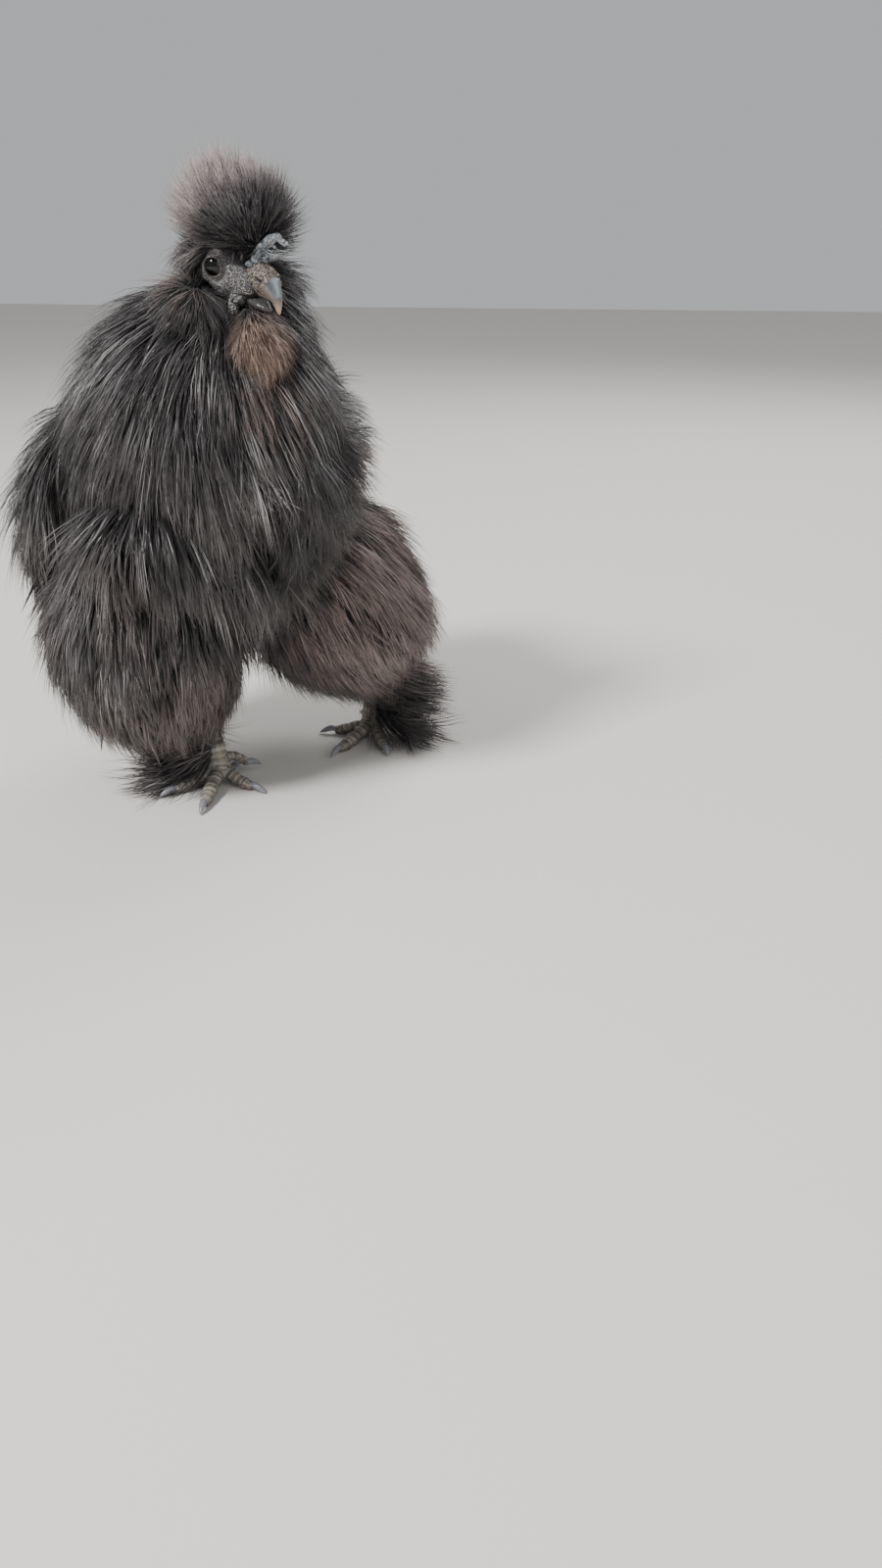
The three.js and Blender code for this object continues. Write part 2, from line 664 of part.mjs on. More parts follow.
addNode('torso', nodes.torso, finishes.plumage);
addNode('neck', nodes.neck, finishes.plumage);
addNode('tail', nodes.tail, finishes.plumage);
addNode('head', headSolid, finishes.faceSkin, head);
addNode('crest', nodes.crest, finishes.crestPlumage, head);
addNode('beard', nodes.beard, finishes.beardPlumage, head);
addNode('comb', comb, finishes.combSkin, head);
addNode('beak_upper', upper, finishes.beakHorn, head);
addNode('beak_lower', lower, finishes.beakHorn, head);
for (const side of sides) {
  addNode(`muff_${side}`, nodes[`muff_${side}`], finishes.beardPlumage, head);
  addNode(`eye_${side}`, eyes[side], finishes.eye, head);
  addNode(`wing_${side}`, nodes[`wing_${side}`], finishes.plumage);
  addNode(`thigh_${side}`, nodes[`thigh_${side}`], finishes.thighPlumage);
  addNode(`foot_${side}`, footSolids[side], finishes.footSkin, feet[side]);
  claws[side].forEach((claw, i) => addNode(`claw_${side}_${toes[i].digit}`, claw, finishes.claw, feet[side]));
}

// The origin is moved to the floor under the middle of the whole.
const whole = new THREE.Box3().setFromObject(group, true);
const middle = whole.getCenter(new THREE.Vector3());
for (const child of group.children) child.position.sub(new THREE.Vector3(middle.x, middle.y, whole.min.z));
group.updateMatrixWorld(true);

export default group;
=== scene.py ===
"""A life-size silkie chicken in mid-step: skin, plumage, face, comb, bill, eyes and feet over the solid.

Lengths are in millimetres in the bird's own frame, where it faces -Y and its left side is +X, and forms of
the head are in the head's frame. They become metres in the solid's frame when a mesh is made.
"""

import logging
import math
from dataclasses import dataclass, field
from enum import Enum
from typing import Callable

import bmesh
import bpy
import numpy as np
from mathutils import Matrix, Vector

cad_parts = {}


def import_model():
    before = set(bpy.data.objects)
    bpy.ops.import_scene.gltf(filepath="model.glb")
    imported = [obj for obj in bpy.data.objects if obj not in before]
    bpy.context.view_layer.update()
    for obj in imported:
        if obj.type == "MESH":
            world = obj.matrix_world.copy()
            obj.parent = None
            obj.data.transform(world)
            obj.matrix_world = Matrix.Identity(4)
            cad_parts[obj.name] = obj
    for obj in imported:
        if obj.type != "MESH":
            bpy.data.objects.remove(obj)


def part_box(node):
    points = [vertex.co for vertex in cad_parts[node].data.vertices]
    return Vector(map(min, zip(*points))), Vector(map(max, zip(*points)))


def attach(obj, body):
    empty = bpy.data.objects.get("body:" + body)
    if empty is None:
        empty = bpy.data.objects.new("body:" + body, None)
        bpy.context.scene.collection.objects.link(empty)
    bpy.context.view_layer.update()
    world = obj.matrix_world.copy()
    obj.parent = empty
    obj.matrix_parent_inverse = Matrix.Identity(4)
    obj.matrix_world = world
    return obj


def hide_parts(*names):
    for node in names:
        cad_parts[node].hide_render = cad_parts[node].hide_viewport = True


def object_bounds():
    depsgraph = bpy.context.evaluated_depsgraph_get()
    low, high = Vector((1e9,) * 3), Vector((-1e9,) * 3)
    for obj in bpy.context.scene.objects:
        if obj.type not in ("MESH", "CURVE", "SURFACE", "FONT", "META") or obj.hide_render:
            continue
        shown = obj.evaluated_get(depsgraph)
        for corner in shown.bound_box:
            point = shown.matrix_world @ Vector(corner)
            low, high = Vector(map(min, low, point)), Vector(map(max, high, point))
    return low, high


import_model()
SOLID_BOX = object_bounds()
LOG = logging.getLogger("silkie")
Array = np.ndarray

MM = 0.001
FLOOR_GAP = 0.05
# The eyes and nostrils in the head's frame: where the left eye is and the way that it looks, half the width
# and height of its opening, and the nostril's place along Y and Z.
EYE_RADIUS = 6.4
EYE_AT = (9.3, 1.0, 0.8)
EYE_LOOK = (0.85, -0.48, 0.2)
EYE_OPENING = (4.2, 4.3)
NOSTRIL = (-30.5, 5.0)
# The room that hair has past the solid's box, at its low and its high corner.
HAIR_ROOM = ((-9, -9, 0.7), (9, 9, 15))


class Side(Enum):
    """The bird's own right and left, as signs along X."""

    RIGHT = -1
    LEFT = 1

    @property
    def label(self) -> str:
        """The side's name in node names."""
        return self.name.lower()


def pose(at: tuple, pitch: float, roll: float, yaw: float) -> Array:
    """The 4x4 placing of a frame that is pitched, rolled and turned, in degrees.

    Args:
        at: The frame's origin in millimetres.
        pitch: Turn about its X axis.
        roll: Turn about its Y axis.
        yaw: Turn about its Z axis.

    Returns:
        The placing as an array.
    """
    turns = [Matrix.Rotation(math.radians(a), 4, x) for a, x in ((yaw, "Z"), (pitch, "X"), (roll, "Y"))]
    return np.array(Matrix.Translation(at) @ turns[0] @ turns[1] @ turns[2])


# Where the head and the feet are in the bird's frame, and how they are turned.
HEAD = pose((40.7, -50, 300.7), 20, -10, 54)
FEET = {Side.RIGHT: pose((2, -31, 0), 0, 0, 7), Side.LEFT: pose((78, 64, 0), 0, 0, -20)}


def placed(points: Array, place: Array) -> Array:
    """Points of another frame, carried to the bird's."""
    return np.asarray(points, float) @ place[:3, :3].T + place[:3, 3]


def in_frame(points: Array, place: Array) -> Array:
    """Points of the bird's frame, as seen from another frame."""
    return (np.asarray(points, float) - place[:3, 3]) @ place[:3, :3]


def unit(vectors: Array) -> Array:
    """Vectors at length one."""
    return vectors / np.maximum(np.linalg.norm(vectors, axis=-1, keepdims=True), 1e-9)


def smooth(low: float, high: float, x: Array) -> Array:
    """A soft step from 0 at low to 1 at high."""
    t = np.clip((x - low) / (high - low), 0, 1)
    return t * t * (3 - 2 * t)


def hump(x: Array, middle: float, width: float) -> Array:
    """A soft hump that is 1 at its middle and small past its width."""
    return np.exp(-(((x - middle) / width) ** 2))


def eye_centre(side: Side) -> Array:
    """The middle of an eyeball in the head's frame."""
    return np.array([side.value, 1, 1]) * EYE_AT


def eye_look(side: Side) -> Array:
    """The way that an eye looks, in the head's frame."""
    return unit(np.array([side.value, 1, 1]) * EYE_LOOK)


def origin_shift() -> Array:
    """Reads how far the solid's frame lies from the bird's, from where the right eye is.

    Returns:
        The shift in millimetres.
    """
    low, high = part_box("eye_right")
    middle = (np.array(low) + np.array(high)) / 2 / MM
    return middle - placed(eye_centre(Side.RIGHT), HEAD)


SHIFT = origin_shift()
# Hair is drawn in towards its root where it would leave this box of the bird's frame.
COAT_BOX = [np.array(corner) / MM - SHIFT + np.array(room) for corner, room in zip(SOLID_BOX, HAIR_ROOM)]


def world(points: Array) -> Array:
    """Points of the bird's frame in metres, in the solid's frame."""
    return (np.asarray(points, float) + SHIFT) * MM


def linear(hex_colour: str) -> tuple[float, float, float, float]:
    """A colour written as sRGB hex, as linear values.

    Args:
        hex_colour: Six hex digits.

    Returns:
        Red, green, blue and an alpha of one.
    """
    parts = [int(hex_colour[i : i + 2], 16) / 255 for i in (0, 2, 4)]
    return (*[c / 12.92 if c <= 0.04045 else ((c + 0.055) / 1.055) ** 2.4 for c in parts], 1.0)


def settle(vertices: list, spots: Array) -> None:
    """Puts vertices at spots."""
    for vertex, spot in zip(vertices, spots):
        vertex.co = spot


@dataclass
class Form:
    """A rounded form round a bent line, with half sizes at even steps along it.

    Everywhere in it, s is an array of shares of the way along the line and phi one of angles round it.
    """

    line: list
    across: list
    up: list | None = None
    down: list | None = None
    side: tuple = (1, 0, 0)
    ends: float = 0.8
    place: Array = field(default_factory=lambda: np.eye(4))

    def __post_init__(self) -> None:
        """Carries the line to the bird's frame and fills sizes that were left out."""
        self.up = self.up or self.across
        self.down = self.down or self.up
        self.spots = placed(self.line, self.place)
        self.beside = unit(self.place[:3, :3] @ np.array(self.side, float))

    def centre(self, s: Array) -> Array:
        """The line, a centripetal spline through its spots.

        Args:
            s: Shares of its way.

        Returns:
            Points on the line.
        """
        last = len(self.spots) - 1
        start = 2 * self.spots[0] - self.spots[1]
        end = 2 * self.spots[-1] - self.spots[-2]
        spots = np.vstack([start, self.spots, end])
        x = np.clip(s, 0, 1) * last
        i = np.minimum(x.astype(int), last - 1)
        t = (x - i)[:, None]
        a, b, c, d = (spots[i + k] for k in range(4))
        gaps = [np.linalg.norm(q - p, axis=1)[:, None] for p, q in ((a, b), (b, c), (c, d))]
        u, v, w = (np.maximum(gap**0.5, 1e-4) for gap in gaps)
        before = ((b - a) / u - (c - a) / (u + v) + (c - b) / v) * v
        after = ((c - b) / v - (d - b) / (v + w) + (d - c) / w) * v
        square = 3 * (c - b) - 2 * before - after
        cube = 2 * (b - c) + before + after
        return b + before * t + square * t**2 + cube * t**3

    def axes(self, s: Array) -> tuple[Array, Array, Array]:
        """The form's directions along its line.

        Args:
            s: Shares of the line.

        Returns:
            Directions ahead on the line, beside it and above it.
        """
        t = np.clip(s, 0.002, 0.998)
        ahead = unit(self.centre(t + 1e-3) - self.centre(t - 1e-3))
        side = unit(self.beside - ahead * (ahead @ self.beside)[:, None])
        return ahead, side, unit(np.cross(side, ahead))

    def size(self, knots: list, s: Array) -> Array:
        """A half size along the line, smooth between its knots.

        Args:
            knots: The sizes at even steps.
            s: Shares of the line.

        Returns:
            The size at each share.
        """
        k = np.array([knots[0], *knots, knots[-1]], float)
        x = np.clip(s, 0, 1) * (len(knots) - 1)
        i = np.minimum(x.astype(int), len(knots) - 2)
        t = x - i
        a, b, c, d = (k[i + j] for j in range(4))
        square = 2 * a - 5 * b + 4 * c - d
        cube = 3 * b - a - 3 * c + d
        return 0.5 * (2 * b + (c - a) * t + square * t**2 + cube * t**3)

    def reach(self, s: Array, above: Array) -> tuple[Array, Array]:
        """How far the surface lies from the line.

        Args:
            s: Shares of the line.
            above: Numbers over 0 for the upper side and under 0 for the lower.

        Returns:
            Half sizes across and upright.
        """
        swell = np.maximum(4 * s * (1 - s), 0) ** (self.ends / 2)
        tall = np.where(above > 0, self.size(self.up, s), self.size(self.down, s))
        return self.size(self.across, s) * swell, tall * swell

    def bare(self, s: Array, phi: Array) -> Array:
        """The surface of the form.

        Args:
            s: Shares of the line.
            phi: Angles round it.

        Returns:
            Points on the surface.
        """
        _, side, above = self.axes(s)
        wide, tall = self.reach(s, np.sin(phi))
        return self.centre(s) + side * (wide * np.cos(phi))[:, None] + above * (tall * np.sin(phi))[:, None]

    def normal(self, s: Array, phi: Array) -> Array:
        """The way out of the surface.

        Args:
            s: Shares of the line.
            phi: Angles round it.

        Returns:
            Directions of length one.
        """
        t = np.clip(s, 0.012, 0.988)
        along = self.bare(t + 0.01, phi) - self.bare(t - 0.01, phi)
        return unit(np.cross(along, self.bare(t, phi + 0.01) - self.bare(t, phi - 0.01)))

    def point(self, s: Array, phi: Array, grow: float = 0.0) -> Array:
        """Points of the surface, moved out by grow."""
        return self.bare(s, phi) + self.normal(s, phi) * grow

    def depth(self, points: Array) -> tuple[Array, Array]:
        """How deep points lie in the form, and at which share of its line.

        Args:
            points: Points in the bird's frame.

        Returns:
            A value under 1 inside and above 1 outside, and the share of the nearest spot on the line.
        """
        shares = np.linspace(0.02, 0.98, 33)
        line = self.centre(shares)
        near = shares[((points[:, None] - line[None]) ** 2).sum(2).argmin(1)]
        ahead, side, above = self.axes(near)
        off = points - self.centre(near)
        x, z = (off * side).sum(1), (off * above).sum(1)
        beyond = np.maximum(np.abs((off * ahead).sum(1)) - 3, 0) / 5
        wide, tall = self.reach(near, z)
        return np.sqrt((x / np.maximum(wide, 0.5)) ** 2 + (z / np.maximum(tall, 0.5)) ** 2 + beyond**2), near

    def into(self, bm: bmesh.types.BMesh, around: int, steps: int, grow: float = 0.0) -> None:
        """Adds the form to a mesh: a ball of rings whose vertices go to the form's surface.

        Args:
            bm: The mesh in millimetres.
            around: Faces round the form.
            steps: Rings along it.
            grow: How far its surface is moved out.
        """
        made = bmesh.ops.create_uvsphere(bm, u_segments=around, v_segments=steps, radius=1.0)["verts"]
        p = np.array([v.co for v in made])
        settle(made, self.point((1 - np.clip(p[:, 2], -1, 1)) / 2, np.arctan2(p[:, 1], p[:, 0]), grow))


def torso_forms() -> dict[str, Form]:
    """Makes the forms of the body, as in the solid.

    Returns:
        The forms by name.
    """
    return {
        "torso": Form(
            [[-10, -100, 172], [-8, -50, 160], [-5, 0, 154], [5, 50, 158], [13, 108, 172]],
            [48, 64, 72, 76, 60], [46, 60, 66, 68, 58], [40, 50, 60, 66, 52],
        ),
        "neck": Form(
            [[0, -36, 160], [4, -40, 200], [16, -40, 230], [25, -38, 258], [31, -33, 284], [32, -27, 304]],
            [66, 69, 65, 56, 43, 28], [56, 58, 51, 36, 22, 12], [56, 58, 54, 48, 40, 30], ends=0.5,
        ),
        "thigh_right": Form(
            [[-27, -22, 158], [-30, -40, 124], [-27, -40, 88], [-16, -32, 58], [-8, -22, 32]],
            [44, 59, 57, 41, 18], [40, 54, 54, 40, 16],
        ),
        "thigh_left": Form(
            [[50, 30, 172], [56, 38, 142], [59, 44, 108], [64, 50, 76], [72, 54, 44]],
            [32, 43, 54, 58, 44], [34, 42, 47, 46, 34],
        ),
        "wing_right": Form(
            [[-54, -44, 230], [-72, -36, 198], [-82, -26, 158], [-87, -14, 108]],
            [26, 40, 40, 20], [12, 14, 13, 8], side=(0, 1, 0),
        ),
        "wing_left": Form(
            [[58, -38, 236], [72, -34, 204], [69, -28, 172], [56, -18, 140]],
            [24, 36, 34, 14], [11, 13, 12, 8], side=(0, 1, 0),
        ),
        "tail": Form(
            [[9, 14, 176], [10, 50, 190], [12, 84, 208], [13, 112, 208]],
            [46, 56, 50, 28], [30, 40, 40, 24],
        ),
    }


def head_forms() -> dict[str, Form]:
    """Makes the forms of the head, as in the solid.

    Returns:
        The forms by name.
    """
    made = {
        "skull": Form(
            [[0, -23, -4], [0, -6, -1], [0, 10, 1], [0, 25, -3]],
            [10, 13.5, 15, 12], [10, 14, 16, 13], [13, 18, 18, 14], ends=0.6, place=HEAD,
        ),
        "crest": Form(
            [[7, -16, 16], [7, 0, 19], [5, 15, 13], [2, 25, 0]],
            [18, 20, 17, 12], [17, 19, 17, 12], ends=0.9, place=HEAD,
        ),
        "beard": Form([[0, -16, -13], [-4, -29, -26], [-9, -37, -42]], [9, 13, 11], [7, 9, 8], place=HEAD),
    }
    for side in Side:
        x = side.value
        made[f"muff_{side.label}"] = Form(
            [[15 * x, 3, -8], [22 * x, 2, -16], [25 * x, 3, -27]], [11, 13, 9], side=(0, 1, 0), place=HEAD
        )
    return made


def foot_tufts() -> dict[str, Form]:
    """Makes the forms that feathers of the shanks and outer toes grow from, on the outer side of each foot.

    Returns:
        The forms by name.
    """
    right = [[-18, 22, 54], [-17, 10, 36], [-12, 0, 17], [-22, -10, 8]]
    left = [[4, 8, 60], [7, 8, 42], [9, 4, 22], [22, 0, 10]]
    return {
        "foot_tuft_right": Form(right, [10, 11, 10, 5], ends=0.4, place=FEET[Side.RIGHT]),
        "foot_tuft_left": Form(left, [10, 11, 10, 5], ends=0.4, place=FEET[Side.LEFT]),
    }


FORMS = torso_forms() | head_forms()
ROOTS = FORMS | foot_tufts()


# The settings of a soft step between two numbers.
SOFT_STEP = {"interpolation_type": "SMOOTHSTEP"}


def feed(tree: bpy.types.NodeTree, node: bpy.types.Node, inputs: dict) -> None:
    """Gives a node what its inputs take.

    Args:
        tree: The material's node tree.
        node: The node.
        inputs: Sockets to join or plain values, by input name or number.
    """
    for name, value in inputs.items():
        if isinstance(value, bpy.types.NodeSocket):
            tree.links.new(value, node.inputs[name])
        else:
            node.inputs[name].default_value = value


def add_node(
    tree: bpy.types.NodeTree, kind: str, inputs: dict | None = None, output: int | str = 0, **settings: object
) -> bpy.types.NodeSocket:
    """Adds a shader node with its settings and links.

    Args:
        tree: The material's node tree.
        kind: The node's type name after ShaderNode.
        inputs: Sockets to join or plain values, by input name or number.
        output: The output that is wanted, by name or number.
        **settings: Properties of the node.

    Returns:
        The output socket.
    """
    node = tree.nodes.new("ShaderNode" + kind)
    for name, value in settings.items():
        setattr(node, name, value)
    feed(tree, node, inputs or {})
    return node.outputs[output]


def layered(tree: bpy.types.NodeTree, tone: object, *layers: tuple) -> bpy.types.NodeSocket:
    """Lays colours over one another.

    Args:
        tree: The material's node tree.
        tone: The lowest colour, as hex or a socket.
        *layers: The share and the colour of each layer above it.

    Returns:
        The socket of the finished colour.
    """
    tone = linear(tone) if isinstance(tone, str) else tone
    for share, colour in layers:
        over = linear(colour) if isinstance(colour, str) else colour
        tone = add_node(tree, "Mix", {0: share, 6: tone, 7: over}, 2, data_type="RGBA")
    return tone


def numbers(tree: bpy.types.NodeTree, name: str) -> list:
    """Reads the four numbers that a mesh holds under a name.

    Args:
        tree: The material's node tree.
        name: The name of the mesh's colour attribute.

    Returns:
        Four sockets.
    """
    colour = add_node(tree, "Attribute", output="Color", attribute_name=name)
    parts = add_node(tree, "SeparateColor", {0: colour}).node.outputs
    return [*parts, colour.node.outputs["Alpha"]]


def scale_of(size: float) -> float:
    """A pattern's scale, from the size of its grain in millimetres."""
    return 1 / (size * MM)


@dataclass(frozen=True)
class Finish:
    """What every finish shares: its name, gloss and the shader's plain values."""

    name: str
    roughness: float
    specular: float = 0.5
    ior: float = 1.5
    coat: float = 0.0
    sheen: float = 0.0
    coat_roughness: float = 0.04

    def material(self) -> bpy.types.Material:
        """Makes the material, with its own pattern from dress.

        Returns:
            The finished material.
        """
        made = bpy.data.materials.new(self.name)
        made.use_nodes = True
        tree = made.node_tree
        shader = tree.nodes["Principled BSDF"]
        plain = {
            "Roughness": self.roughness, "Specular IOR Level": self.specular, "IOR": self.ior,
            "Coat Weight": self.coat, "Coat Roughness": self.coat_roughness, "Sheen Weight": self.sheen,
        }
        feed(tree, shader, plain)
        feed(tree, shader, self.dress(tree))
        return made

    def dress(self, tree: bpy.types.NodeTree) -> dict:
        """Makes the pattern of the finish. Each kind of finish has its own.

        Args:
            tree: The material's node tree.

        Returns:
            What the shader's inputs take.
        """
        raise NotImplementedError


@dataclass(frozen=True)
class Plumage(Finish):
    """Silky feather: barbs with no hooks, so it reads as fine hair with a dull sheen.

    The mesh attribute plume holds the share from root to tip, the brown of the place, its pale share of
    painted sheen and a random number for each lock.
    """

    root: str = "0b0a0b"
    tip: str = "454041"
    brown: str = "75645e"
    # Pale is painted sheen, laid in streaks where the glossy plumage catches the light.
    pale: str = "bcb8b8"
    # A painted highlight on a few random locks, laid at up to the share below.
    worn: str = "94908f"
    worn_share: float = 0.7

    def dress(self, tree: bpy.types.NodeTree) -> dict:
        """Makes dark roots, lighter tips, markings, painted highlights and a change of tone among locks.

        Args:
            tree: The material's node tree.

        Returns:
            What the shader's inputs take.
        """
        along, brown, pale, chance = numbers(tree, "plume")
        outer = add_node(tree, "MapRange", {0: along, 1: 0.05, 2: 0.75}, **SOFT_STEP)
        tipped = add_node(tree, "MapRange", {0: along, 1: 0.1, 2: 1.0}, **SOFT_STEP)
        # Streaks of painted sheen on the outer part of the strands, where the pale share is set.
        streaks = add_node(tree, "MapRange", {0: chance, 1: 0.3, 2: 0.7, 3: 0.2, 4: 1.2}, **SOFT_STEP)
        streaks = add_node(tree, "Math", {0: outer, 1: streaks}, operation="MULTIPLY")
        # A painted highlight on a few random locks.
        worn = add_node(tree, "MapRange", {0: chance, 1: 0.62, 2: 0.95, 4: self.worn_share}, **SOFT_STEP)
        layers = [(tipped, self.tip)]
        marks = ((brown, outer, self.brown), (pale, streaks, self.pale), (worn, outer, self.worn))
        for share, place, colour in marks:
            layers.append((add_node(tree, "Math", {0: share, 1: place}, operation="MULTIPLY"), colour))
        tone = layered(tree, self.root, *layers)
        dim = add_node(tree, "MapRange", {0: chance, 1: 0.0, 2: 0.8, 3: 0.3, 4: 1.6}, **SOFT_STEP)
        shade = add_node(tree, "CombineColor", {0: dim, 1: dim, 2: dim})
        both = {0: 1.0, 6: tone, 7: shade}
        return {"Base Color": add_node(tree, "Mix", both, 2, data_type="RGBA", blend_type="MULTIPLY")}


@dataclass(frozen=True)
class Skin(Finish):
    """Bare poultry skin: pebbled with small warts, with pale specks on their tops.

    The mesh attribute marks holds the bare share, the pale rim share, the creases, darkened with painted
    shade, and the specked share.
    Grain, cloud and speck_size are the sizes of warts, stains and specks in millimetres, and relief is how
    high the warts stand.
    """

    deep: str = "2f2d30"
    wart: str = "8a8789"
    rim: str = "a8a3a0"
    speck: str = "b8b3ae"
    # Painted shade in creases: along the mouth, round the eyeball and in the comb's hollows.
    crease: str = "0b0a0b"
    hidden: str = "141213"
    grain: float = 0.9
    cloud: float = 4.0
    speck_size: float = 0.7
    relief: float = 0.3

    def dress(self, tree: bpy.types.NodeTree) -> dict:
        """Makes the warts, their specks, the pale rim and the dark feathered skin round the bare face.

        Args:
            tree: The material's node tree.

        Returns:
            What the shader's inputs take.
        """
        bare, rim, crease, specked = numbers(tree, "marks")
        at = {"Vector": add_node(tree, "TexCoord", output="Object")}
        warts = add_node(tree, "TexVoronoi", at | {"Scale": scale_of(self.grain)}, "Distance")
        cloud = add_node(tree, "TexNoise", at | {"Scale": scale_of(self.cloud), "Detail": 4.0}, "Fac")
        fine = add_node(tree, "TexNoise", at | {"Scale": scale_of(self.speck_size), "Detail": 2.0}, "Fac")
        top = add_node(tree, "MapRange", {0: warts, 1: 0.6, 2: 0.1}, **SOFT_STEP)
        stain = add_node(tree, "MapRange", {0: cloud, 1: 0.4, 2: 0.65, 4: 0.6}, **SOFT_STEP)
        specks = add_node(tree, "MapRange", {0: fine, 1: 0.52, 2: 0.66}, **SOFT_STEP)
        specks = add_node(tree, "Math", {0: specks, 1: specked}, operation="MULTIPLY")
        # Creases are darkened with painted shade.
        folds = ((rim, self.rim), (crease, self.crease))
        tone = layered(tree, self.deep, (top, self.wart), (stain, self.deep), (specks, self.speck), *folds)
        bump = add_node(tree, "Bump", {"Height": top, "Strength": 0.8, "Distance": self.relief * MM})
        return {"Base Color": layered(tree, self.hidden, (bare, tone)), "Normal": bump}


@dataclass(frozen=True)
class Scaled(Finish):
    """Scaled foot skin: overlapping plates with pale worn edges, and a net of small scales on the sides.

    The mesh attribute marks holds the plates' edges, the grooves between them and the share of the net. Net
    and cloud are the sizes of small scales and of dirt in millimetres, and relief is how deep the net lies.
    """

    plate: str = "6d6963"
    edge: str = "b8b2a6"
    groove: str = "37332f"
    dust: str = "8d8375"
    net: float = 1.6
    cloud: float = 3.0
    relief: float = 0.3

    def dress(self, tree: bpy.types.NodeTree) -> dict:
        """Makes plates, their edges, small net-like scales on the sides and fine dirt.

        Args:
            tree: The material's node tree.

        Returns:
            What the shader's inputs take.
        """
        edge, groove, net, _ = numbers(tree, "marks")
        at = {"Vector": add_node(tree, "TexCoord", output="Object")}
        cells = at | {"Scale": scale_of(self.net)}
        cell = add_node(tree, "TexVoronoi", cells, "Distance", feature="DISTANCE_TO_EDGE")
        cloud = add_node(tree, "TexNoise", at | {"Scale": scale_of(self.cloud), "Detail": 4.0}, "Fac")
        seam = add_node(tree, "MapRange", {0: cell, 1: 0.0, 2: 0.14, 3: 1.0, 4: 0.0}, **SOFT_STEP)
        seam = add_node(tree, "Math", {0: seam, 1: net}, operation="MULTIPLY")
        dirt = add_node(tree, "MapRange", {0: cloud, 1: 0.35, 2: 0.7}, **SOFT_STEP)
        lines = ((groove, self.groove), (seam, self.groove))
        tone = layered(tree, self.plate, (dirt, self.dust), (edge, self.edge), *lines)
        depth = {"Height": seam, "Strength": 0.5, "Distance": self.relief * MM}
        return {"Base Color": tone, "Normal": add_node(tree, "Bump", depth, invert=True)}


@dataclass(frozen=True)
class Horn(Finish):
    """Bill and claw horn: smooth keratin, slate with a tan tip.

    The mesh attribute marks holds the tip, the ridge, the cere and the light share. On the bill the ridge is
    a painted highlight, and the light share is 0 in the nostril and low on the lower bill, where the dark
    tone is painted shade. Cloud and grit are the sizes of stains and crusts in millimetres, and relief is how
    high the crusts stand.
    """

    body: str = "4a5159"
    stain: str = "3c4248"
    tip: str = "a8917a"
    # On the bill, a painted highlight along its top.
    ridge: str = "98a0a8"
    cere: str = "342e2a"
    crust: str = "857b70"
    # Painted shade in the nostril and on the lower bill.
    dark: str = "0a090a"
    cloud: float = 1.8
    grit: float = 0.8
    relief: float = 0.5
    crust_roughness: float = 0.75

    def dress(self, tree: bpy.types.NodeTree) -> dict:
        """Makes the tones along the horn, the crusty cere and painted shade in the nostril and lower bill.

        Args:
            tree: The material's node tree.

        Returns:
            What the shader's inputs take.
        """
        tip, ridge, cere, light = numbers(tree, "marks")
        at = {"Vector": add_node(tree, "TexCoord", output="Object")}
        cloud = add_node(tree, "TexNoise", at | {"Scale": scale_of(self.cloud), "Detail": 5.0}, "Fac")
        grit = add_node(tree, "TexNoise", at | {"Scale": scale_of(self.grit), "Detail": 3.0}, "Fac")
        stain = add_node(tree, "MapRange", {0: cloud, 1: 0.3, 2: 0.75}, **SOFT_STEP)
        crust = add_node(tree, "MapRange", {0: grit, 1: 0.45, 2: 0.6}, **SOFT_STEP)
        waxy = layered(tree, self.cere, (crust, self.crust))
        tones = ((stain, self.stain), (ridge, self.ridge), (tip, self.tip), (cere, waxy))
        rough = add_node(tree, "Math", {0: cere, 1: grit}, operation="MULTIPLY")
        depth = {"Height": rough, "Strength": 0.8, "Distance": self.relief * MM}
        gloss = {0: cere, 1: 0.0, 2: 1.0, 3: self.roughness, 4: self.crust_roughness}
        # The dark tone where the light share is low is painted shade.
        return {
            "Base Color": layered(tree, self.dark, (light, layered(tree, self.body, *tones))),
            "Normal": add_node(tree, "Bump", depth),
            "Roughness": add_node(tree, "MapRange", gloss, **SOFT_STEP),
        }


@dataclass(frozen=True)
class Eyeball(Finish):
    """A wet eye, near black, with a dark brown iris. The attribute marks holds the iris."""

    pupil: str = "040405"
    iris: str = "100b0a"

    def dress(self, tree: bpy.types.NodeTree) -> dict:
        """Makes the iris round the pupil."""
        return {"Base Color": layered(tree, self.pupil, (numbers(tree, "marks")[0], self.iris))}


@dataclass(frozen=True)
class Ground(Finish):
    """The plain pale studio floor."""

    tone: str = "d9d5cf"

    def dress(self, tree: bpy.types.NodeTree) -> dict:
        """Gives the one colour."""
        return {"Base Color": linear(self.tone)}


# Silky feathers have barbs that don't hook together, so they look like dull hair with a low sheen. Those of
# the body are near black and glossiest, and those of the crest, beard and thighs are drier and browner.
BODY_PLUMES = Plumage("silky_feather_black", 0.36, 0.6, sheen=0.1)
CREST_PLUMES = Plumage(
    "silky_feather_crest", 0.5, 0.4, sheen=0.12, tip="393435", brown="8f827f", worn_share=0.12
)
BEARD_PLUMES = Plumage("silky_feather_beard", 0.5, 0.4, sheen=0.12, brown="977e71", worn_share=0.3)
THIGH_PLUMES = Plumage(
    "silky_feather_thigh", 0.48, 0.45, sheen=0.1, brown="80706b", worn="9a9090", worn_share=0.45
)
# Bare skin is waxy and pebbled, and the comb's is greyer with coarser warts.
FACE_SKIN = Skin("bare_face_skin", 0.55)
COMB_SKIN = Skin("rough_comb_skin", 0.5, deep="4b5158", wart="8d949c", speck="b4bbc1", grain=1.2, relief=0.15)
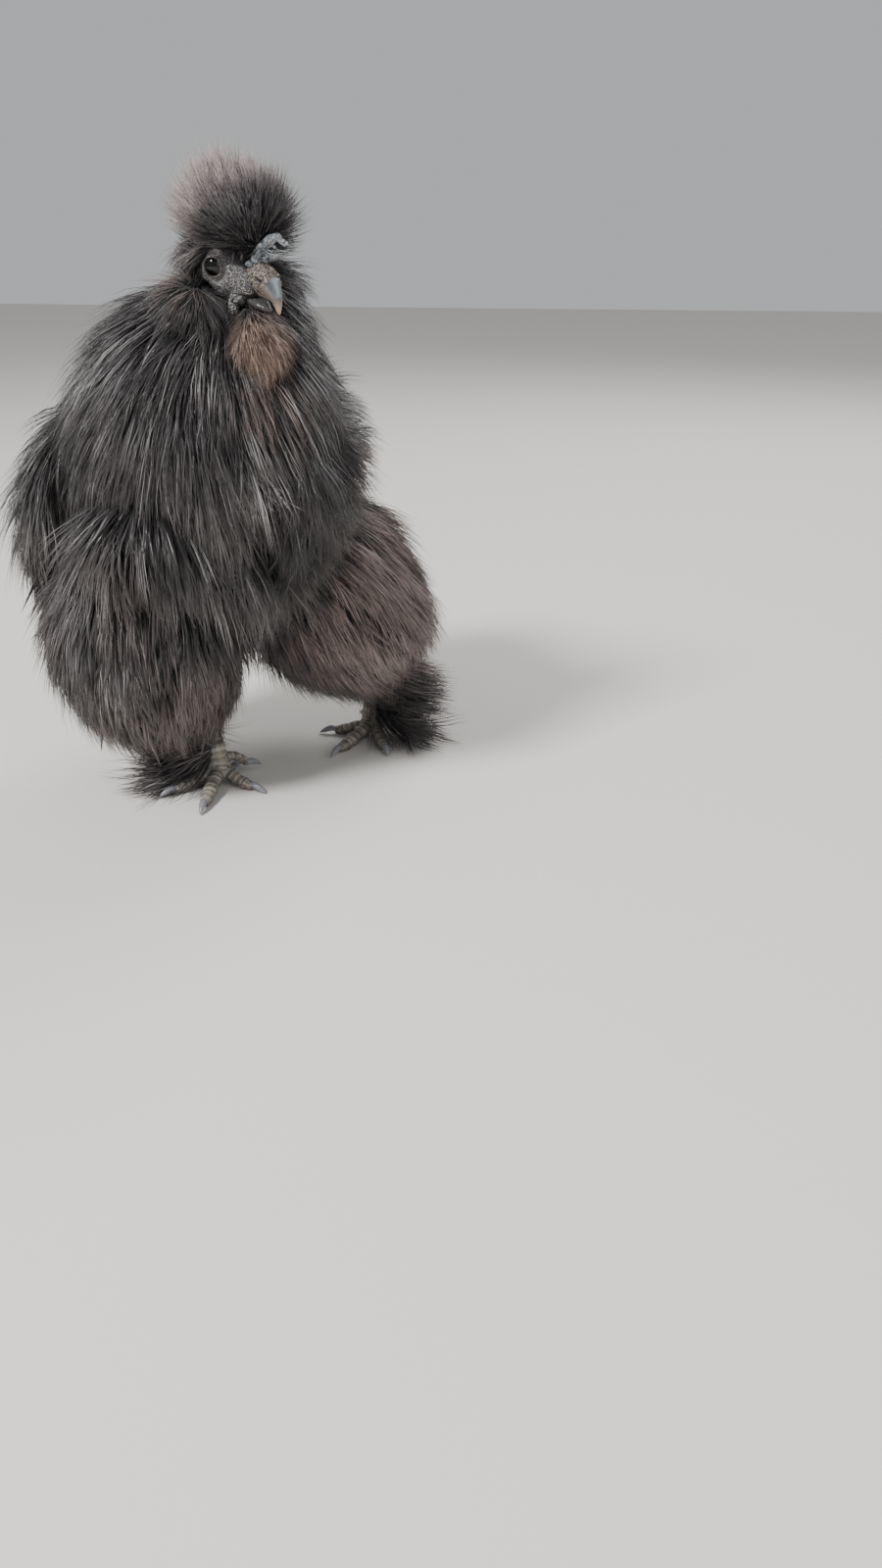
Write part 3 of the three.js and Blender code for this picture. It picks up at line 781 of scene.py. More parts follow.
# Scales and claws are keratin worn matt, and the bill's is smooth, with a thin gloss.
FOOT_SKIN = Scaled("scaled_foot_skin", 0.55)
BILL_HORN = Horn("bill_horn", 0.3, coat=0.15)
CLAW_HORN = Horn("claw_horn", 0.4, body="2f3033", ridge="55565a", tip="6b665e")
# The eye is wet, so it mirrors the lamps sharply. The floor is a matt studio ground.
EYE_GLOSS = Eyeball("wet_eye", 0.03, ior=1.45)
FLOOR = Ground("studio_floor", 0.9, 0.2)


def tint(points: Array) -> tuple[Array, Array]:
    """The bird's markings by place: brown, and pale streaks of painted sheen. Skin and coat both use them.

    Args:
        points: Points in the bird's frame.

    Returns:
        The brown share and the pale share of painted sheen.
    """

    def blob(share: float, middle: tuple, radii: tuple, core: float = 0.3) -> Array:
        """A soft spot, full inside the core and gone at its half sizes."""
        far = np.linalg.norm((points - np.array(middle, float)) / np.array(radii, float), axis=1)
        return share * (1 - smooth(core, 1.0, far))

    browns = [
        blob(0.6, (23, -67, 297), (12, 15, 11), 0.3),  # the tuft under the bill
        blob(1.0, (58, -76, 266), (20, 26, 34), 0.6),  # the rust patch on the neck
        blob(0.8, (62, -86, 240), (14, 18, 26), 0.3),  # its lower end
        blob(1.0, (82, 44, 126), (70, 90, 92), 0.7),  # the left thigh and flank
        blob(0.5, (-20, -60, 74), (80, 60, 56), 0.4),  # between the legs
        blob(0.45, (-70, -50, 120), (34, 50, 34)),  # the right thigh
        blob(0.35, (92, 10, 236), (34, 76, 48)),  # the left side of the neck
        blob(0.3, (-20, -96, 150), (30, 30, 50)),  # the middle of the breast
    ]
    # Painted sheen: pale streaks where the glossy plumage catches the light.
    pales = [
        blob(0.65, (-28, -92, 104), (16, 22, 20)),  # the front of the right thigh
        blob(0.8, (50, -90, 222), (9, 24, 50)),  # the streak on the breast
        blob(0.4, (-22, -66, 268), (30, 30, 26)),  # the right side of the neck
        blob(0.45, (-88, -50, 190), (34, 46, 46)),  # the right wing
        blob(0.3, (-50, -90, 150), (40, 40, 60)),  # the right side of the breast
    ]
    head = in_frame(points, HEAD)
    far = np.linalg.norm((head - np.array([6, -14, 8])) / np.array([30, 34, 34]), axis=1)
    crown = 0.9 * smooth(0.52, 0.82, far) * smooth(6, 14, head[:, 2])
    return np.max([*browns, crown], 0), np.max(pales, 0)


def paint(mesh: bpy.types.Mesh, name: str, columns: list) -> None:
    """Writes up to four numbers a vertex to a colour attribute.

    Args:
        mesh: The mesh.
        name: The attribute's name.
        columns: Arrays or plain numbers; those left out are 0 and the fourth is 1.
    """
    count = len(mesh.vertices)
    values = np.zeros((count, 4), np.float32)
    values[:, 3] = 1
    for i, column in enumerate(columns):
        values[:, i] = column
    layer = mesh.color_attributes.new(name, "FLOAT_COLOR", "POINT")
    layer.data.foreach_set("color", values.ravel())


def read(mesh: bpy.types.Mesh, what: str) -> Array:
    """Reads the places or the normals of a mesh.

    Args:
        mesh: The mesh.
        what: Either co or normal.

    Returns:
        Three numbers a vertex.
    """
    values = np.zeros(len(mesh.vertices) * 3)
    mesh.vertices.foreach_get(what, values)
    return values.reshape(-1, 3)


def positions(mesh: bpy.types.Mesh) -> Array:
    """The vertices of a mesh, in millimetres of the bird's frame."""
    return read(mesh, "co") / MM - SHIFT


def move(mesh: bpy.types.Mesh, points: Array) -> None:
    """Puts the vertices of a mesh at points of the bird's frame."""
    mesh.vertices.foreach_set("co", world(points).astype(np.float32).ravel())
    mesh.update()


def piece(name: str, mesh: bpy.types.Mesh, finish: Finish, nodes: list) -> None:
    """Makes a finished piece of a mesh that is already in the solid's frame.

    Args:
        name: The piece's name.
        mesh: Its mesh in metres.
        finish: Its finish.
        nodes: The nodes that it stands for.
    """
    mesh.name = name
    made = bpy.data.objects.new(name, mesh)
    bpy.context.scene.collection.objects.link(made)
    mesh.materials.clear()
    mesh.materials.append(bpy.data.materials.get(finish.name) or finish.material())
    mesh.polygons.foreach_set("use_smooth", [True] * len(mesh.polygons))
    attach(made, "root")
    if nodes:
        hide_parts(*nodes)
    LOG.info("%s: %d vertices", name, len(mesh.vertices))


def mesh_of(bm: bmesh.types.BMesh, name: str) -> bpy.types.Mesh:
    """Makes a mesh of a bmesh, its faces pointing out.

    Args:
        bm: The bmesh, in millimetres of the bird's frame.
        name: The mesh's name.

    Returns:
        The mesh in metres.
    """
    bmesh.ops.recalc_face_normals(bm, faces=bm.faces)
    mesh = bpy.data.meshes.new(name)
    bm.to_mesh(mesh)
    bm.free()
    move(mesh, read(mesh, "co"))
    return mesh


def fused(mesh: bpy.types.Mesh, voxel: float, rounds: int) -> bpy.types.Mesh:
    """One closed skin round overlapping forms.

    Args:
        mesh: Closed forms in metres.
        voxel: The grid in millimetres.
        rounds: How often the result is smoothed.

    Returns:
        The skin's mesh.
    """
    holder = bpy.data.objects.new("fused", mesh)
    bpy.context.scene.collection.objects.link(holder)
    remesh = holder.modifiers.new("fuse", "REMESH")
    remesh.mode = "VOXEL"
    remesh.voxel_size = voxel * MM
    even = holder.modifiers.new("even", "SMOOTH")
    even.factor = 0.5
    even.iterations = rounds
    graph = bpy.context.evaluated_depsgraph_get()
    made = bpy.data.meshes.new_from_object(holder.evaluated_get(graph))
    bpy.data.objects.remove(holder)
    bpy.data.meshes.remove(mesh)
    return made


def ball(bm: bmesh.types.BMesh, middle: tuple, radius: float, stretch: tuple, around: int = 24) -> None:
    """Adds a stretched ball of the head's frame.

    Args:
        bm: The mesh in millimetres of the bird's frame.
        middle: The ball's middle.
        radius: Its radius.
        stretch: How much it is stretched along each axis.
        around: Faces round it.
    """
    made = bmesh.ops.create_uvsphere(bm, u_segments=around, v_segments=around // 2, radius=radius)["verts"]
    settle(made, placed(np.array([v.co for v in made]) * np.array(stretch) + np.array(middle), HEAD))


@dataclass
class Body:
    """The one skin under all the plumage, with the bare face.

    Places on the lids are told by how many times further out they lie than the edge of the eye's opening.
    """

    body_voxel: float = 3.0
    face_voxel: float = 0.5
    depth: float = 3.0
    orbit_at: tuple = (-2.5, -0.5)
    orbit_size: tuple = (7.8, 10.4)
    orbit_mean: float = 9.0
    rim_width: float = 0.5
    lid_gap: float = 0.35
    lid_edge: tuple = (0.15, 1.12, 0.1)
    eye_bag: tuple = (0.3, 1.62, 0.1)
    fold: float = 0.16

    def build(self) -> None:
        """Makes the skin: a coarse body hidden by feathers, and a fine head."""
        body = bmesh.new()
        for name, form in FORMS.items():
            if name != "skull":
                form.into(body, 40, 28, -self.depth)
        trunk = fused(mesh_of(body, "trunk"), self.body_voxel, 6)
        self.mark(trunk, False)
        head = bmesh.new()
        FORMS["skull"].into(head, 64, 48)
        for side in Side:
            x = side.value
            ball(head, (14 * x, 8, -6), 4.2, (0.6, 0.9, 1.3))
            ball(head, (7 * x, -10.5, -16), 4.0, (0.7, 0.9, 1.4))
            ball(head, (6.5 * x, -14, -10.5), 4.2, (0.8, 1.5, 0.8))
        face = fused(mesh_of(head, "face"), self.face_voxel, 5)
        points = in_frame(positions(face), HEAD)
        for side in Side:
            points = self.lids(points, side)
        move(face, placed(points, HEAD))
        self.mark(face, True)
        whole = bmesh.new()
        whole.from_mesh(trunk)
        whole.from_mesh(face)
        skin = bpy.data.meshes.new("skin")
        whole.to_mesh(skin)
        whole.free()
        names = ["torso", "neck", "tail", "head", "crest", "beard"]
        names += [f"{part}_{side.label}" for part in ("muff", "wing", "thigh") for side in Side]
        piece("skin", skin, FACE_SKIN, names)

    @staticmethod
    def about_eye(points: Array, side: Side) -> tuple[Array, Array, Array]:
        """Tells where places lie from an eye, by the way that it looks.

        Args:
            points: Places in the head's frame.
            side: Which eye.

        Returns:
            How far ahead, above and outside of its centre they lie.
        """
        look = eye_look(side)
        front = unit(np.array([0, -1, 0]) + look * look[1])
        top = np.cross(look, front) * -side.value
        off = points - eye_centre(side)
        return off @ front, off @ top, off @ look

    @staticmethod
    def round_eye(ahead: Array, above: Array) -> Array:
        """How far out places lie from the middle of an eye's opening, 1 on its edge."""
        return np.hypot(ahead / EYE_OPENING[0], above / EYE_OPENING[1])

    def rim(self, head: Array, side: Side) -> Array:
        """Tells how much places lie on the thin rim between a bare orbit and its feathers.

        Args:
            head: Places in the head's frame.
            side: Which orbit.

        Returns:
            Shares from 0 to 1.
        """
        y, z = ((head[:, i + 1] - self.orbit_at[i]) / self.orbit_size[i] for i in (0, 1))
        behind = smooth(-9, -3, head[:, 1]) * (head[:, 0] * side.value > 3)
        return hump((np.hypot(y, z) - 1) * self.orbit_mean, 0, self.rim_width) * behind

    @staticmethod
    def mouth(head: Array) -> Array:
        """Tells how much places lie on the line of the mouth.

        Args:
            head: Places in the head's frame.

        Returns:
            Shares from 0 to 1.
        """
        height = -7.2 - 5 * smooth(-17.5, -12, head[:, 1])
        here = (head[:, 1] < -11.5) * (np.abs(head[:, 0]) > 2)
        return (1 - smooth(0.3, 1.0, np.abs(head[:, 2] - height))) * here

    def lids(self, points: Array, side: Side) -> Array:
        """Raises the lids and the rim round an eye, sinks the skin behind the eyeball and folds the cheek.

        Args:
            points: Places in the head's frame.
            side: Which eye.

        Returns:
            The moved places.
        """
        ahead, above, outside = self.about_eye(points, side)
        around = self.round_eye(ahead, above)
        ball_top = np.sqrt(np.maximum(EYE_RADIUS**2 - ahead**2 - above**2, 0))
        lid = 1 - smooth(1.35, 2.3, around)
        near = outside > 0.5
        height = outside + near * lid * (np.maximum(ball_top + self.lid_gap, 2.9 - 0.5 * around) - outside)
        inner = 1 - smooth(0.9, 1.04, around)
        height += near * inner * (ball_top - 1.6 - height)
        edge = self.lid_edge[0] * hump(around, *self.lid_edge[1:])
        bag = self.eye_bag[0] * hump(around, *self.eye_bag[1:]) * smooth(2, -2, above)
        height += near * (edge + bag + 0.25 * self.rim(points, side)) * (1 - inner)
        cheek = near * bare_face(points) * smooth(1.5, 2.0, around)
        folds = np.sin(points[:, 1] * 2.6 + points[:, 2] * 1.9) * np.sin(points[:, 2] * 2.3 - 1)
        height += cheek * self.fold * folds
        return points + eye_look(side) * (height - outside)[:, None]

    def mark(self, mesh: bpy.types.Mesh, face: bool) -> None:
        """Paints where the skin is bare, its pale rims, the painted shade of its creases and its specks.

        Args:
            mesh: The skin.
            face: Whether it is the skin of the head.
        """
        points = positions(mesh)
        head = in_frame(points, HEAD)
        rims = np.zeros(len(points))
        # Painted shade along the mouth line and in the gap between the lids and the eyeball.
        crease = self.mouth(head) * face
        for side in Side:
            ahead, above, outside = self.about_eye(head, side)
            around = self.round_eye(ahead, above)
            out = outside > 0
            # The broad pale band round the lids is partly flecked skin and partly painted light over the
            # shade there.
            lines = (0.4 * self.rim(head, side), 0.2 * hump(around, 1.2, 0.08), 0.3 * hump(around, 1.6, 0.35))
            rims = np.maximum(rims, out * np.max(lines, 0))
            crease = np.maximum(crease, out * (1 - smooth(1.0, 1.1, around)))
        bare = bare_face(head) * face
        specked = bare * (0.7 + 0.25 * smooth(3, -6, head[:, 2]))
        paint(mesh, "marks", [bare, rims * face, crease * face, specked])
        brown, pale = tint(points)
        paint(mesh, "plume", [0, brown, pale, 0.5])


# The bare patches of the face: the middle of each, back and up in the head's frame, and its half sizes.
ORBIT = ((-2.5, -0.5), (8.2, 10.8))
LORE = ((-14.5, -0.8), (11.0, 7.0))
CHEEK = ((-9.5, -8.0), (8.5, 6.5))
WATTLE = ((-11.0, -16.0), (7.0, 7.0))


def bare_face(head: Array) -> Array:
    """Tells where the skin is bare: on the orbits, lores, cheeks and wattles.

    Args:
        head: Points in the head's frame.

    Returns:
        1 where the skin is bare and 0 where it carries feathers.
    """
    patches = [np.hypot(*((head[:, 1:] - middle) / size).T) for middle, size in (ORBIT, LORE, CHEEK, WATTLE)]
    aside = np.abs(head[:, 0]) + 0.25 * np.maximum(-head[:, 2], 0)
    return (1 - smooth(0.92, 1.05, np.min(patches, 0))) * smooth(3.0, 5.5, aside)


def ripple(points: Array, grain: float, seed: int) -> Array:
    """Soft random vectors that turn from place to place.

    Args:
        points: Places in millimetres.
        grain: The distance over which they turn.
        seed: The random seed.

    Returns:
        A vector for each place, of a length under one.
    """
    rng = np.random.default_rng(seed)
    waves = rng.normal(0, 1, (3, 3, 6)) / grain
    phases = rng.uniform(0, 2 * math.pi, (3, 6))
    return np.stack([np.sin(points @ wave + phase).mean(1) for wave, phase in zip(waves, phases)], 1)


@dataclass
class Bill:
    """The upper and lower bill, with cere, nostrils and ridge."""

    def forms(self) -> dict[str, Form]:
        """Makes the two halves, as in the solid.

        Returns:
            Their forms by node name.
        """
        return {
            "beak_upper": Form(
                [[0, -41, -9.5], [0, -37.5, -1], [0, -29, 4], [0, -16, 3]],
                [2, 4, 7, 8.5], [2.4, 4, 5.5, 7], [2, 6, 10, 9], ends=0.9, place=HEAD,
            ),
            "beak_lower": Form(
                [[0, -34, -10.8], [0, -25, -10.4], [0, -13, -9.6]],
                [2.2, 4.6, 6.4], [1.6, 2.4, 2.8], [1.8, 3, 4], ends=0.9, place=HEAD,
            ),
        }

    def build(self) -> None:
        """Makes both halves."""
        for name, form in self.forms().items():
            bm = bmesh.new()
            form.into(bm, 48, 64)
            if name == "beak_upper":
                ball(bm, (0, -25, 5.6), 4.7, (1.22, 1.45, 0.9), 32)
            mesh = fused(mesh_of(bm, name), 0.35, 3)
            points = in_frame(positions(mesh), HEAD)
            _, share = form.depth(placed(points, HEAD))
            points, marks = self.shaped(points, share, name == "beak_upper")
            move(mesh, placed(points, HEAD))
            paint(mesh, "marks", marks)
            piece(f"horn_{name}", mesh, BILL_HORN, [name])

    def shaped(self, points: Array, share: Array, upper: bool) -> tuple[Array, list]:
        """Sharpens the ridge, sinks the nostrils and tells the tones apart.

        Args:
            points: Vertices in the head's frame.
            share: Their place from the tip at 0 to the root at 1.
            upper: Whether it is the upper half.

        Returns:
            The moved vertices, and the columns tip, ridge, cere and the light share of the nostril.
        """
        x, y, z = points.T
        tip = 1 - smooth(0.05, 0.32, share)
        # The lower bill is painted mostly dark: painted shade, as it lies in the shade of the upper bill.
        if not upper:
            return points, [0.1 * tip, 0, 0.8, 0.2]
        cere = smooth(-36.0, -34.0, y + 0.15 * (z - 5))
        # The ridge's paler tone is a painted highlight along the top of the bill.
        ridge = hump(x, 0, 1.8) * (z > -2 - 0.4 * (y + 38)) * smooth(0.02, 0.2, share)
        side = smooth(1.0, 3.0, np.abs(x) - 0.35 * (z + 4))
        points = points + np.stack([-0.12 * x * (1 - ridge) * (1 - cere), 0 * x, 0.4 * ridge * (1 - cere)], 1)
        points = points + ripple(points, 0.8, 3) * (0.9 * cere)[:, None]
        slit = np.hypot((y - NOSTRIL[0]) / 3.4, (z - NOSTRIL[1] - 0.08 * (y - NOSTRIL[0])) / 0.9)
        out = np.abs(x) > 2.5
        # The nostril is sunk, and its inside is painted dark as painted shade.
        hole = (1 - smooth(0.6, 1.05, slit)) * out
        lip = hump(slit, 1.5, 0.4) * out * (z > NOSTRIL[1])
        points[:, 0] += np.sign(x) * (0.5 * lip - 1.6 * hole)
        return points, [np.maximum(tip, 0.3 * side), 0.6 * ridge * (1 - cere), cere, 1 - hole]


@dataclass
class Comb:
    """The low comb, a rough leaf that curls over the bill, with blunt points along its front."""

    points_at: tuple = (0.35, 0.53, 0.7, 0.87)
    finger: tuple = (2.7, -5.0, -2.0)
    sag: float = 0.8
    wart: float = 0.3

    def build(self) -> None:
        """Makes the comb of a spine, lobes and points, fused and made rough."""
        spine = Form(
            [[-0.5, -18.5, 7], [1, -20, 12], [4.5, -23.5, 18.5], [7.6, -27.5, 22.2], [9, -30.5, 21]],
            [2.6, 2.5, 2.5, 2.1, 1.3], [2.2, 2.6, 2.4, 1.9, 1.2],
            side=(0.35, -0.8, -0.5), ends=0.5, place=HEAD,
        )
        bm = bmesh.new()
        spine.into(bm, 32, 40)
        for middle in ((-1, -21.5, 10), (2.5, -23.5, 10.5), (-3, -19.5, 8)):
            ball(bm, middle, 2.2, (1, 1, 0.8))
        for share in self.points_at:
            root = in_frame(spine.centre(np.array([share])), HEAD)[0]
            way = np.array(self.finger)
            line = [root + way * d - np.array([0, 0, self.sag * d * d]) for d in (-0.1, 0.5, 1.15)]
            Form(line, [1.05, 0.95, 0.6], place=HEAD).into(bm, 20, 16)
        mesh = fused(mesh_of(bm, "comb_leaf"), 0.3, 3)
        points = positions(mesh)
        lumps = ripple(points, 0.7, 5)[:, 0] + 0.7 * ripple(points, 0.4, 6)[:, 0]
        move(mesh, points + read(mesh, "normal") * (self.wart * lumps)[:, None])
        # Raised lumps take the pale rim tone, and the hollows between them are darkened with painted shade.
        paint(mesh, "marks", [1, np.clip(0.8 * lumps, 0, 0.5), np.clip(-1.2 * lumps, 0, 0.5), 0.5])
        piece("comb_leaf", mesh, COMB_SKIN, ["comb"])


@dataclass
class Eyes:
    """Both eyeballs with a raised cornea, by the share that a place faces the way that the eye looks."""

    raised: float = 0.03
    cornea: tuple = (0.72, 0.95)
    iris: tuple = (0.86, 0.92)

    def build(self) -> None:
        """Makes each eye as a fine ball, its front raised a little."""
        for side in Side:
            bm = bmesh.new()
            bmesh.ops.create_uvsphere(bm, u_segments=48, v_segments=32, radius=EYE_RADIUS)
            off = np.array([v.co for v in bm.verts])
            facing = off @ eye_look(side) / EYE_RADIUS
            off *= (1 + self.raised * smooth(*self.cornea, facing))[:, None]
            settle(bm.verts, placed(off + eye_centre(side), HEAD))
            mesh = mesh_of(bm, f"eye_{side.label}")
            paint(mesh, "marks", [1 - smooth(*self.iris, facing)])
            piece(f"eyeball_{side.label}", mesh, EYE_GLOSS, [f"eye_{side.label}"])


@dataclass(frozen=True)
class Toe:
    """One toe: its digit, turn from the middle toe towards the inner side, length, radius and joints."""

    digit: int
    turn: float
    length: float
    radius: float
    rings: int
    raised: bool = False


@dataclass
class Foot:
    """A scaled foot with five toes and their claws.

    Plate and plate_height are the length and height of the plates on the toes, in millimetres.
    """

    side: Side
    toes: tuple = (
        Toe(3, 0, 40, 4.4, 5),
        Toe(2, 62, 27, 3.9, 4),
        Toe(4, -48, 32, 3.9, 4),
        Toe(1, 165, 17, 3.6, 2),
        Toe(5, 128, 19, 3.2, 2, True),
    )
    plate: float = 3.3
    plate_height: float = 0.35
    shank_plates: int = 14

    def ahead(self, toe: Toe, far: float, height: float) -> list:
        """Finds a point of a toe's upright plane.

        Args:
            toe: The toe.
            far: How far out from the middle of the foot.
            height: How high over the floor.

        Returns:
            The point in the foot's frame.
        """
        angle = math.radians(toe.turn) * -self.side.value
        return [math.sin(angle) * far, -math.cos(angle) * far, height]

    def toe_form(self, toe: Toe) -> Form:
        """Makes a toe, thicker at its pads.

        Args:
            toe: The toe.

        Returns:
            Its form.
        """
        steps = toe.rings * 2
        knots = [toe.radius * (1.12 - 0.3 * i / steps) * (1.05 if i % 2 else 0.92) for i in range(steps + 1)]
        low, far = toe.radius - 0.5, toe.length
        if toe.raised:
            spots = [(0, 14), (far * 0.5, 15), (far * 0.85, 11), (far, 8)]
        else:
            spots = [(0, 9), (far * 0.4, low + 2.5), (far * 0.8, low), (far, low - 0.4)]
        line = [self.ahead(toe, d, z) for d, z in spots]
        return Form(line, knots, knots, [0.9 * k for k in knots], ends=0.35, place=FEET[self.side])

    def shank_form(self) -> Form:
        """Makes the shank from the hock to the toes.

        Returns:
            Its form.
        """
        line = [[2, 2, 62], [1, 4, 36], [0, 1, 12], [0, -3, 6]]
        if self.side is Side.RIGHT:
            line = [[-16, 22, 56], [-10, 12, 34], [-2, 2, 12], [0, -3, 6]]
        return Form(line, [9, 8, 8, 9], [9, 8, 8, 7], ends=0.3, place=FEET[self.side])

    def claw_form(self, toe: Toe) -> Form:
        """Makes the curved claw at the end of a toe.

        Args:
            toe: The toe.

        Returns:
            The claw's form.
        """
        z = 8 if toe.raised else toe.radius - 0.6
        start = toe.length - 3
        spots = [(start, z), (start + 5, z + 1), (start + 10, z - 0.8), (start + 13, max(z - 3.2, 0.8))]
        line = [self.ahead(toe, d, h) for d, h in spots]
        return Form(line, [2.6, 2.3, 1.6, 1], [2.4, 2.1, 1.5, 0.9], place=FEET[self.side])

    def build(self) -> None:
        """Makes the scaled skin and the claws."""
        forms = [self.shank_form(), *[self.toe_form(t) for t in self.toes]]
        bm = bmesh.new()
        for form in forms:
            form.into(bm, 32, 48)
        mesh = fused(mesh_of(bm, "foot"), 0.75, 3)
        points = positions(mesh)
        depths, shares = zip(*[form.depth(points) for form in forms])
        which = np.stack(depths).argmin(0)
        share = np.stack(shares)[which, np.arange(len(points))]
        pitch = np.array([1 / self.shank_plates, *[self.plate / t.length for t in self.toes]])[which]
        phase = (share / pitch) % 1
        normals = read(mesh, "normal")
        top = smooth(-0.1, 0.5, normals[:, 2] + 0.8 * (which == 0))
        step = smooth(0.0, 0.25, phase) * (1 - smooth(0.8, 1.0, phase))
        points = points + normals * (self.plate_height * step * top)[:, None]
        points[:, 2] = np.maximum(points[:, 2], FLOOR_GAP)
        move(mesh, points)
        edge = smooth(0.6, 0.86, phase) * (1 - smooth(0.9, 0.98, phase)) * top
        groove = np.maximum(smooth(0.92, 0.99, phase), 1 - smooth(0.02, 0.12, phase)) * top
        paint(mesh, "marks", [0.65 * edge, 0.8 * groove, 1 - top])
        label = self.side.label
        piece(f"foot_skin_{label}", mesh, FOOT_SKIN, [f"foot_{label}"])
        claws = bmesh.new()
        for toe in self.toes:
            self.claw_form(toe).into(claws, 20, 20)
        mesh = mesh_of(claws, "claws")
        points = positions(mesh)
        points[:, 2] = np.maximum(points[:, 2], FLOOR_GAP)
        move(mesh, points)
        paint(mesh, "marks", [0, 0.5 * smooth(0.2, 0.9, np.sin(points[:, 0])), 0])
        names = [f"claw_{label}_{toe.digit}" for toe in self.toes]
        piece(f"claws_{label}", mesh, CLAW_HORN, names)


# The most triangles of a piece of the coat, the seed of the first coat, and what a root needs to be drawn:
# its least height over the floor, and the least depth value that it has in the other forms.
PIECE_LIMIT = 190_000
FIRST_SEED = 11
ROOT_HEIGHT = 3
OPEN_SKIN = 0.97
# The map for baking: its margin, its width, and the width of one blade on it.
MAP_MARGIN = 0.02
MAP_WIDTH = 0.955
BLADE_MAP = 0.003
# Places by the head that stay free of plumage: middle and half sizes in the head's frame. The feathers of the
# forehead and cheeks part there, along the way that leads out to the front and right.
FREE = [
    ((15.5, -3, -0.5), (6, 7.5, 9.5)),
    ((-15.5, -3, -0.5), (6, 7.5, 9.5)),
    ((11, -15, -2), (8, 10, 7.5)),
    ((-11, -15, -2), (8, 10, 7.5)),
    ((-9, -12, -9), (6, 7, 4.5)),
    ((0, -34, -1), (8, 14, 9.5)),
    ((5, -27, 15), (8, 9, 9)),
]
FREE_WAY = (-0.49, -0.78, 0.39)
FREE_STEPS = (0, 7, 14)


